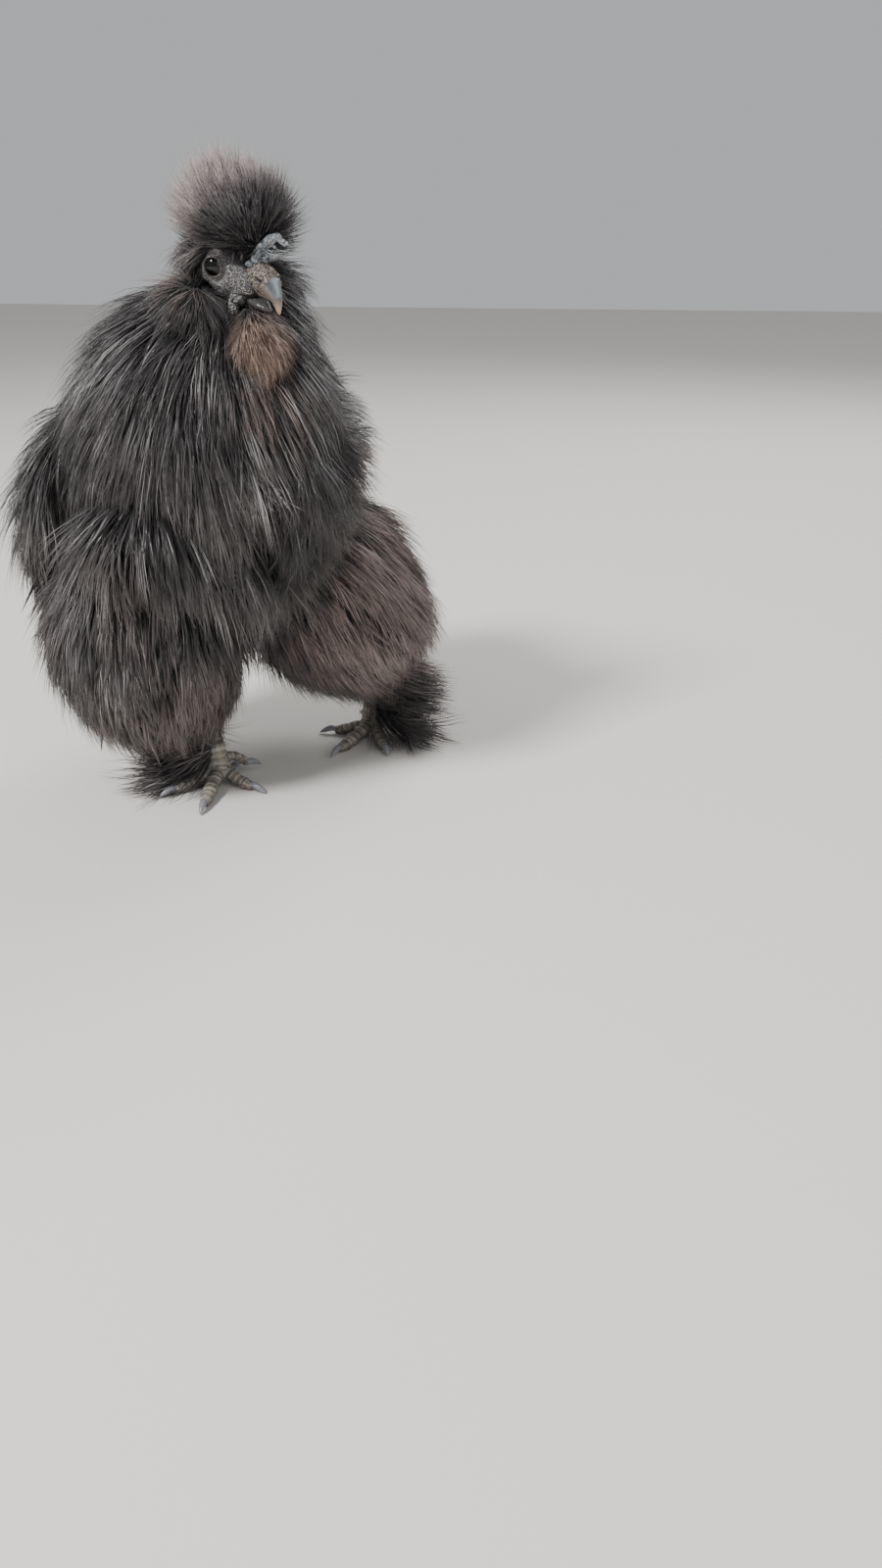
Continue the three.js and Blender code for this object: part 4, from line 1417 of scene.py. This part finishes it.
@dataclass
class Coat:
    """Plumage on one form: many closed blades in locks that share a root, follow the lie and bend as they go.

    Lengths and widths are in millimetres and angles in degrees. Length, thin and shares are given for the
    start and the end of the form's line.
    """

    name: str
    form: str
    locks: int
    hairs: int
    length: tuple
    finish: Plumage
    slot: str
    lie: Callable[[Array, Array], Array]
    lift: float = 20
    bend: float = -14
    width: float = 0.8
    flat: float = 0.45
    spread: float = 3.0
    clump: float = 0.55
    curl: float = 0.06
    droop: float = 0.1
    flick: float = 0.0
    stray: float = 7.0
    shares: tuple = (0.001, 0.999)
    rings: int = 3
    sink: float = 3.0
    keep: Callable[[Array], Array] | None = None
    tones: tuple = (0.0, 1.0)
    thin: tuple = (1.0, 1.0)
    wave: float = 0.3
    grain: float = 16
    uneven: tuple = (0.6, 1.2)
    lock_stray: float = 0.09
    hair_stray: float = 0.12
    shorter: float = 0.35

    def roots(self, rng: np.random.Generator, count: int) -> tuple[Array, Array]:
        """Even random places on the form's surface that no neighbour covers.

        Args:
            rng: The random source.
            count: How many places are wanted before covered ones are dropped.

        Returns:
            Shares along the form and angles round it.
        """
        form = ROOTS[self.form]
        s = rng.uniform(*self.shares, count * 4)
        phi = rng.uniform(0, 2 * math.pi, count * 4)
        here = form.bare(s, phi)
        along, round_it = form.bare(s + 0.01, phi) - here, form.bare(s, phi + 0.02) - here
        area = np.linalg.norm(np.cross(along, round_it), axis=1)
        chosen = rng.choice(len(s), count, replace=False, p=area / area.sum())
        s, phi, here = s[chosen], phi[chosen], here[chosen]
        clear = here[:, 2] > ROOT_HEIGHT
        for name, other in FORMS.items():
            if name != self.form:
                clear &= other.depth(here)[0] > OPEN_SKIN
        if self.keep:
            clear &= self.keep(here)
        return s[clear], phi[clear]

    def paths(
        self, root: Array, out: Array, lie: Array, length: Array, rng: np.random.Generator
    ) -> tuple[Array, Array]:
        """Draws the line of each blade.

        Args:
            root: Where each starts.
            out: The direction out of the skin.
            lie: The way each lies.
            length: Their lengths.
            rng: The random source.

        Returns:
            Points by blade and ring, and each blade's direction aside.
        """
        ahead = unit(lie - out * (lie * out).sum(1)[:, None])
        aside = np.cross(ahead, out)
        lift = np.radians(self.lift + rng.normal(0, self.stray, len(root)))
        twist = rng.normal(0, self.curl, len(root))
        spots = [root - out * self.sink]
        for i in range(self.rings):
            t = (i + 0.5) / self.rings
            angle = lift + np.radians(self.bend * t * 1.2 + self.flick * t * t * t)
            step = ahead * np.cos(angle)[:, None] + out * np.sin(angle)[:, None]
            step = step + aside * (twist * 3 * t)[:, None] + np.array([0, 0, -self.droop * 3 * t])
            spots.append(spots[-1] + unit(step) * ((length + self.sink) / self.rings)[:, None])
        return np.stack(spots, 1), aside

    def grow(self, seed: int) -> tuple[Array, Array, Array, Array]:
        """Grows the locks.

        Args:
            seed: The seed of this coat.

        Returns:
            Blade lines, their directions aside, the place of each root on the form and its random number.
        """
        rng = np.random.default_rng(seed)
        form = ROOTS[self.form]
        s, phi = self.roots(rng, self.locks)
        count, each = len(s), self.hairs
        low, high = self.shares
        base, out = form.point(s, phi), form.normal(s, phi)
        turn = ripple(base, self.grain, seed)
        lie = unit(self.lie(base, out)) + self.wave * turn + rng.normal(0, self.lock_stray, (count, 3))
        near = self.length[0] + (self.length[1] - self.length[0]) * (s - low) / (high - low)
        size = near * rng.uniform(*self.uneven, count) * (1 + 0.25 * turn[:, 0])
        size *= self.thin[0] + (1 - self.thin[0]) * smooth(low, low + 0.3, s)
        size *= self.thin[1] + (1 - self.thin[1]) * smooth(high, high - 0.25, s)
        middle, _ = self.paths(base, out, lie, size, rng)
        jitter = rng.normal(0, self.spread / 2, (count, each, 3))
        jitter -= out[:, None] * (jitter * out[:, None]).sum(2, keepdims=True)
        root = (base[:, None] + jitter).reshape(-1, 3)
        lock = np.repeat(np.arange(count), each)
        hair_lie = lie[lock] + rng.normal(0, self.hair_stray, (count * each, 3))
        length = size[lock] * (1 - self.shorter * rng.random(count * each) ** 2)
        lines, aside = self.paths(root, out[lock], hair_lie, length, rng)
        pull = self.clump * np.linspace(0, 1, self.rings + 1) ** 1.3
        lines = self.drawn_in(lines * (1 - pull)[None, :, None] + middle[lock] * pull[None, :, None])
        chance = np.clip(rng.random(count)[lock] * 0.6 + rng.random(count * each) * 0.4, 0, 1)
        chance = self.tones[0] + chance * (self.tones[1] - self.tones[0])
        kept = self.free(lines)
        home = np.stack([s, phi / (2 * math.pi)], 1)[lock]
        return lines[kept], aside[kept], home[kept], chance[kept]

    @staticmethod
    def drawn_in(lines: Array) -> Array:
        """Draws blades in towards their roots where they would leave the coat's box.

        Args:
            lines: Points by blade and ring.

        Returns:
            The points inside the box, and over the floor.
        """
        start = lines[:, :1]
        reach = lines - start
        room = np.where(reach < 0, COAT_BOX[0] - start, COAT_BOX[1] - start) / np.where(reach == 0, 1, reach)
        room = np.where(reach == 0, 1, room)[:, :, :2].min((1, 2))
        lines = start + reach * np.clip(room, 0.3, 1)[:, None, None]
        lines[:, :, 2] = np.maximum(lines[:, :, 2], COAT_BOX[0][2])
        return lines

    @staticmethod
    def free(lines: Array) -> Array:
        """Tells which blades stay out of the places that are free of plumage.

        Args:
            lines: Points by blade and ring.

        Returns:
            True for the blades that stay out.
        """
        head = in_frame(lines[:, 1:], HEAD)
        blocked = np.zeros(len(lines), bool)
        for spot, radii in FREE:
            for step in FREE_STEPS:
                middle = np.array(spot) + np.array(FREE_WAY) * step
                blocked |= (np.linalg.norm((head - middle) / np.array(radii), axis=2) < 1).any(1)
        return ~blocked

    def build(self, seed: int) -> None:
        """Makes the coat's pieces, each under the limit of triangles.

        Args:
            seed: The seed of this coat.
        """
        lines, aside, home, chance = self.grow(seed)
        corners = 3 if self.flat > 0.3 else 4
        tris = corners * (2 * self.rings - 1) + corners - 2
        parts = max(1, math.ceil(len(lines) * tris / PIECE_LIMIT))
        for i, rows in enumerate(np.array_split(np.arange(len(lines)), parts)):
            label = self.name if parts == 1 else f"{self.name}_{i + 1}"
            mesh = blades(lines[rows], aside[rows], self.width, self.flat, corners, home[rows], chance[rows])
            piece(label, mesh, self.finish, [])


def blades(
    lines: Array, aside: Array, width: float, flat: float, corners: int, home: Array, chance: Array
) -> bpy.types.Mesh:
    """Makes closed tapering blades along lines, as one mesh with its colour attribute and its map for baking.

    Args:
        lines: Points by blade and ring, in the bird's frame.
        aside: Each blade's direction aside.
        width: The blade's width in millimetres.
        flat: Its thickness as a share of the width.
        corners: Sides of its section.
        home: The root's place on the unwrapped form, by blade.
        chance: A random number by blade.

    Returns:
        The mesh in metres.
    """
    count, rings = len(lines), lines.shape[1] - 1
    t = np.linspace(0, 1, rings + 1)[:-1]
    slim = np.sqrt(1 - t) * (0.75 + 0.5 * t)
    ahead = unit(lines[:, 1:] - lines[:, :-1])
    face = unit(np.cross(aside[:, None], ahead))
    turn = 2 * math.pi * (np.arange(corners) + 0.25 * (corners == 3)) / corners
    across = width / 2 * slim[None, :, None] * np.cos(turn)
    deep = width / 2 * flat * slim[None, :, None] * np.sin(turn)
    ring = lines[:, :-1, None] + aside[:, None, None] * across[..., None] + face[:, :, None] * deep[..., None]
    verts = np.concatenate([ring.reshape(count, -1, 3), lines[:, -1:]], 1)
    faces = []
    for r in range(rings):
        for c in range(corners):
            a, b = r * corners + c, r * corners + (c + 1) % corners
            if r < rings - 1:
                faces += [(a, b, b + corners), (a, b + corners, a + corners)]
            else:
                faces.append((a, b, rings * corners))
    faces += [(0, c + 1, c) for c in range(1, corners - 1)]
    tri = np.array(faces)
    sample = verts[0][tri]
    if (np.cross(sample[:, 0], sample[:, 1]) * sample[:, 2]).sum() < 0:
        tri = tri[:, ::-1]
    size = verts.shape[1]
    loops = (tri[None] + (np.arange(count) * size)[:, None, None]).reshape(-1)
    mesh = bpy.data.meshes.new("blades")
    mesh.vertices.add(count * size)
    mesh.vertices.foreach_set("co", world(verts).astype(np.float32).ravel())
    mesh.loops.add(len(loops))
    mesh.loops.foreach_set("vertex_index", loops.astype(np.int32))
    mesh.polygons.add(len(loops) // 3)
    mesh.polygons.foreach_set("loop_start", np.arange(0, len(loops), 3, dtype=np.int32))
    mesh.update(calc_edges=True)
    along = np.append(np.repeat(np.arange(rings) / rings, corners), 1.0)
    brown, pale = tint(lines[:, 0])
    repeat = lambda a: np.repeat(a, size)
    paint(mesh, "plume", [np.tile(along, count), repeat(brown), repeat(pale), repeat(chance)])
    local = np.stack([np.append(np.tile(np.arange(corners) / corners, rings), 0.5), along], 1) * BLADE_MAP
    place = (MAP_MARGIN + MAP_WIDTH * (home % 1))[:, None] + local[None]
    layer = mesh.uv_layers.new(name="OFBake")
    layer.data.foreach_set("uv", place.reshape(-1, 2)[loops].astype(np.float32).ravel())
    return mesh


def combed(*guides: tuple, stand: float = 0.15, reach: float = 38.0) -> Callable[[Array, Array], Array]:
    """Makes a lie of feathers blended from directions at a few places, as a comb would leave it.

    Args:
        *guides: Place and direction in the bird's frame, six numbers each.
        stand: The share of straight out of the body.
        reach: How far a direction is felt, in millimetres.

    Returns:
        A function of roots and outward directions that gives the lie.
    """
    table = np.array(guides, float)

    def lie(root: Array, out: Array) -> Array:
        """The lie at each root."""
        far = ((root[:, None] - table[None, :, :3]) ** 2).sum(2)
        weight = np.exp(-(far - far.min(1, keepdims=True)) / reach**2)
        return unit(weight @ unit(table[:, 3:])) + out * stand

    return lie


# The lie of the plumage: places on the bird and the way its feathers run there.
NECK_LIE = combed(
    (-30, -80, 262, -0.45, -0.25, -0.85), (-62, -50, 250, -0.6, 0, -0.8), (-85, -30, 215, -0.45, 0.1, -0.9),
    (-40, -96, 210, -0.25, -0.15, -0.95), (10, -98, 230, 0, -0.3, -0.95), (0, -100, 170, 0.05, 0, -1),
    (60, -85, 240, 0.35, -0.25, -0.9), (85, -50, 240, 0.75, -0.1, -0.65), (95, -20, 210, 0.8, 0.2, -0.6),
    (20, 30, 250, 0, 1, -0.5), (0, -40, 285, -0.7, 0.1, -0.7), (60, -10, 285, 0.7, 0.3, -0.6), stand=0.15,
)
TRUNK_LIE = combed(
    (-60, -70, 150, -0.2, 0.1, -0.95), (0, -100, 140, 0.1, -0.1, -1), (50, -80, 130, 0.35, 0, -0.9),
    (-75, 0, 140, -0.3, 0.5, -0.7), (80, 20, 150, 0.8, 0.3, -0.5), (0, 100, 170, 0, 1, -0.3),
    (0, 40, 220, 0, 1, -0.1),
)
TAIL_LIE = combed(
    (60, 80, 200, 0.8, 0.5, -0.35), (-40, 80, 200, -0.8, 0.5, -0.35), (10, 120, 200, 0, 1, -0.2),
    (10, 80, 235, 0.2, 0.9, 0.2), stand=0.3,
)
WING_RIGHT_LIE = combed(
    (-75, -50, 215, -0.2, 0, -1), (-95, -30, 170, -0.25, 0.2, -0.95), (-100, -20, 130, -0.4, 0.25, -0.85),
    (-84, -64, 150, 0.1, 0.1, -1), stand=0.05,
)
WING_LEFT_LIE = combed((70, -50, 200, 0.15, -0.1, -1), (60, -40, 150, -0.25, -0.1, -0.95), stand=0.05)
THIGH_RIGHT_LIE = combed(
    (-70, -50, 130, -0.15, 0, -1), (-20, -86, 120, 0, -0.1, -1), (26, -50, 100, 0.2, 0, -1),
    (-46, -60, 60, 0.15, 0, -1), (-14, -40, 40, 0.15, 0, -1),
)
THIGH_LEFT_LIE = combed(
    (50, 0, 150, 0.8, -0.2, -0.5), (90, 40, 150, 0.9, 0.1, -0.45), (110, 50, 110, 0.7, 0.1, -0.7),
    (70, 0, 96, 0.6, -0.1, -0.8), (100, 60, 66, 0.6, 0.1, -0.8), (60, 20, 56, 0.4, 0, -0.9), stand=0.25,
)
FOOT_RIGHT_LIE = combed(
    (-26, -10, 44, -0.8, -0.2, -0.6), (-20, -36, 12, -0.8, -0.6, -0.06), (-26, -20, 20, -1, -0.35, -0.12),
    reach=18, stand=0.25,
)
FOOT_LEFT_LIE = combed(
    (84, 74, 56, 0.9, 0.3, -0.2), (92, 68, 26, 0.95, 0, -0.12), (98, 60, 10, 0.85, -0.4, -0.04),
    reach=18, stand=0.25,
)


def drift(x: float, y: float, z: float, out_share: float = 0.0) -> Callable[[Array, Array], Array]:
    """A lie of feathers in one direction, mixed with straight out of the body."""
    return lambda root, out: np.array([x, y, z]) + out * out_share


def crest_lie(root: Array, out: Array) -> Array:
    """Crest feathers rise like a fountain from the forehead."""
    return unit(root - placed([[4, -14, 4]], HEAD)) + out * 0.25 + np.array([0, 0, 0.25])


def cheek_lie(root: Array, out: Array) -> Array:
    """Spreads cheek feathers away from the eye.

    Args:
        root: Their roots.
        out: The directions out of the skin.

    Returns:
        The way that each lies.
    """
    head = in_frame(root, HEAD)
    away = np.stack([0.35 * np.sign(head[:, 0]), head[:, 1] + 6, head[:, 2] - 2], 1)
    return unit(away) @ HEAD[:3, :3].T + out * 0.35


def nape_lie(root: Array, out: Array) -> Array:
    """Runs nape feathers down and back from the crest, more to the rear on the head's left.

    Args:
        root: Their roots.
        out: The directions out of the skin.

    Returns:
        The way that each lies.
    """
    head = in_frame(root, HEAD)
    left = smooth(2, 12, head[:, 0])[:, None]
    return np.array([-0.8, 0.1, -0.6]) * (1 - left) + np.array([0.3, 0.8, -0.6]) * left + out * 0.5


def feathered(points: Array) -> Array:
    """Whether places on the skull carry feathers."""
    return bare_face(in_frame(points, HEAD)) < 0.2


def cheeks(points: Array) -> Array:
    """Whether places on the skull lie behind or under the bare face."""
    head = in_frame(points, HEAD)
    return (bare_face(head) < 0.3) & ((head[:, 1] > 1) | (head[:, 2] < -8)) & (head[:, 2] < 13)


def nape(points: Array) -> Array:
    """Whether places on the skull lie behind the face, where the crest runs down to the neck."""
    head = in_frame(points, HEAD)
    return (head[:, 1] > np.where(head[:, 0] < 8, 0, 10)) & (bare_face(head) < 0.1)


def coats() -> list[Coat]:
    """Lists all the plumage, from the neck out. The larger coats have broad dark down under them.

    Returns:
        The coats, in the order of their seeds.
    """
    body = {"finish": BODY_PLUMES, "slot": "plumage"}
    thigh = {"finish": THIGH_PLUMES, "slot": "thigh_plumage"}
    beard = {"finish": BEARD_PLUMES, "slot": "beard_plumage"}
    crest = {"finish": CREST_PLUMES, "slot": "crest_plumage"}
    under = {"hairs": 1, "width": 4.0, "flat": 0.2, "spread": 0.1, "clump": 0.0, "stray": 4.0}
    under |= {"tones": (0.0, 0.3)}
    down = under | body
    thigh_down = under | thigh
    crest_down = under | crest | {"width": 3}
    right, left = THIGH_RIGHT_LIE, THIGH_LEFT_LIE
    chin = drift(0.1, -0.1, -1, 0.2)
    made = [
        Coat("hackle_under", "neck", 2600, length=(36, 28), lie=NECK_LIE, lift=12, thin=(0.6, 0.6), **down),
        Coat("hackle", "neck", 3200, 6, (54, 34), lie=NECK_LIE, lift=17, thin=(0.9, 0.75), **body),
        Coat("trunk_under", "torso", 2600, length=(38, 38), lie=TRUNK_LIE, lift=12, **down),
        Coat("trunk_feathers", "torso", 2800, 6, (52, 42), lie=TRUNK_LIE, lift=19, **body),
        Coat("thigh_under_right", "thigh_right", 1500, length=(38, 26), lie=right, lift=14, **thigh_down),
        Coat("thigh_fluff_right", "thigh_right", 2200, 6, (38, 28), lie=right, lift=16, **thigh),
        Coat("thigh_under_left", "thigh_left", 1500, length=(38, 26), lie=left, lift=14, **thigh_down),
        Coat("thigh_fluff_left", "thigh_left", 2200, 6, (40, 30), lie=left, lift=20, **thigh),
        Coat("wing_under_right", "wing_right", 900, length=(40, 46), lie=WING_RIGHT_LIE, lift=8, **down),
        Coat(
            "wing_plumes_right", "wing_right", 1600, 6, (44, 56), lie=WING_RIGHT_LIE, lift=9, flick=8, **body
        ),
        Coat("wing_under_left", "wing_left", 800, length=(40, 32), lie=WING_LEFT_LIE, lift=8, **down),
        Coat(
            "wing_plumes_left", "wing_left", 1300, 6, (44, 34), lie=WING_LEFT_LIE, lift=14, flick=20,
            tones=(0.0, 0.75), **body,
        ),
        Coat("tail_under", "tail", 800, length=(30, 30), lie=TAIL_LIE, lift=16, **down),
        Coat("tail_fluff", "tail", 1400, 6, (36, 36), lie=TAIL_LIE, lift=28, **body),
        Coat("crest_under", "crest", 700, length=(15, 14), lie=crest_lie, lift=34, **crest_down),
        Coat(
            "crest_plumes", "crest", 2600, 4, (23, 25), lie=crest_lie, lift=34, bend=-14, width=0.55,
            clump=0.45, stray=9, droop=0.02, **crest,
        ),
        Coat("beard_under", "beard", 300, length=(12, 12), lie=chin, lift=14, **under, **beard),
        Coat(
            "beard_plumes", "beard", 1300, 4, (13, 19), lie=drift(0.1, -0.1, -0.9, 0.3), lift=24, width=0.5,
            clump=0.3, stray=12, wave=0.6, **beard,
        ),
        Coat(
            "cheek_feathers", "skull", 1100, 4, (19, 17), lie=cheek_lie, lift=32, width=0.55, spread=1.4,
            sink=0.5, keep=cheeks, **beard,
        ),
        Coat(
            "face_feathers", "skull", 1600, 2, (6, 8), lie=drift(0, 0.8, 0.1, 0.1), lift=24, width=0.5,
            spread=0.8, sink=0.5, keep=feathered, **body,
        ),
        Coat(
            "nape_feathers", "skull", 1300, 4, (26, 22), lie=nape_lie, lift=34, width=0.6, spread=1.6,
            sink=0.5, keep=nape, **crest,
        ),
    ]
    foot_lies = {Side.RIGHT: FOOT_RIGHT_LIE, Side.LEFT: FOOT_LEFT_LIE}
    for side, foot_lie in foot_lies.items():
        muff = f"muff_{side.label}"
        foot = f"foot_tuft_{side.label}"
        muff_lie = drift(side.value * 0.5, 0.3, -0.9, 0.2)
        made += [
            Coat(
                f"muff_plumes_{side.label}", muff, 520, 4, (20, 22), lie=muff_lie, lift=30, width=0.55,
                **beard,
            ),
            Coat(
                f"foot_feathers_{side.label}", foot, 460, 5, (40, 48), lie=foot_lie, lift=6, bend=-8,
                width=0.9, droop=0.01, sink=1.0, **thigh,
            ),
        ]
    return made


@dataclass
class Studio:
    """Floor, lights and the camera of the photo's view.

    The camera stands at a place of the bird's frame in millimetres. Lamps have a name, a place and a side in
    metres, and watts.
    """

    camera_at: tuple = (269.36, -672.97, 310.0)
    look: tuple = (-0.17349, 0.89253, -0.41628)
    right: tuple = (0.9816, 0.1908, 0.0)
    lens: float = 27.07
    sensor: float = 36
    lamps: tuple = (
        ("key", (-0.9, -1.4, 1.9), 0.5, 84),
        ("fill", (1.7, -1.1, 1.0), 1.6, 11),
        ("back", (0.6, 1.5, 1.7), 1.2, 30),
    )
    aim: tuple = (0, 0, 0.18)
    sky: str = "e6e8ea"
    sky_light: float = 0.6
    floor: float = 6

    def build(self) -> None:
        """Sets up the scene round the bird."""
        self.camera()
        bm = bmesh.new()
        bmesh.ops.create_grid(bm, x_segments=1, y_segments=1, size=self.floor)
        mesh = bpy.data.meshes.new("floor")
        bm.to_mesh(mesh)
        bm.free()
        floor = bpy.data.objects.new("floor", mesh)
        bpy.context.scene.collection.objects.link(floor)
        mesh.materials.append(FLOOR.material())
        for lamp in self.lamps:
            self.lamp(*lamp)
        sky = bpy.data.worlds.new("studio")
        bpy.context.scene.world = sky
        sky.use_nodes = True
        sky.node_tree.nodes["Background"].inputs[0].default_value = linear(self.sky)
        sky.node_tree.nodes["Background"].inputs[1].default_value = self.sky_light

    def camera(self) -> None:
        """Sets up the camera of the photo."""
        camera = bpy.data.objects.new("camera", bpy.data.cameras.new("camera"))
        bpy.context.scene.collection.objects.link(camera)
        right, back = Vector(self.right).normalized(), -Vector(self.look).normalized()
        turned = Matrix((right, back.cross(right), back)).transposed().to_4x4()
        camera.matrix_world = Matrix.Translation(Vector(world(self.camera_at))) @ turned
        camera.data.lens = self.lens
        camera.data.sensor_width = self.sensor
        camera.data.clip_start = 0.01
        bpy.context.scene.camera = camera

    def lamp(self, name: str, at: tuple, size: float, watts: float) -> None:
        """Adds a soft square light that points at the bird.

        Args:
            name: Its name.
            at: Where it stands.
            size: The length of its side.
            watts: Its strength.
        """
        light = bpy.data.lights.new(name, "AREA")
        light.size = size
        light.energy = watts
        made = bpy.data.objects.new(name, light)
        made.location = at
        made.rotation_euler = (Vector(self.aim) - Vector(at)).to_track_quat("-Z", "Y").to_euler()
        bpy.context.scene.collection.objects.link(made)


def main() -> None:
    """Builds the bird and the studio."""
    Studio().build()
    Body().build()
    Bill().build()
    Comb().build()
    Eyes().build()
    for side in Side:
        Foot(side).build()
    for seed, coat in enumerate(coats()):
        coat.build(FIRST_SEED + seed)


if __name__ == "__main__":
    logging.basicConfig(level=logging.INFO, format="%(message)s")
    main()
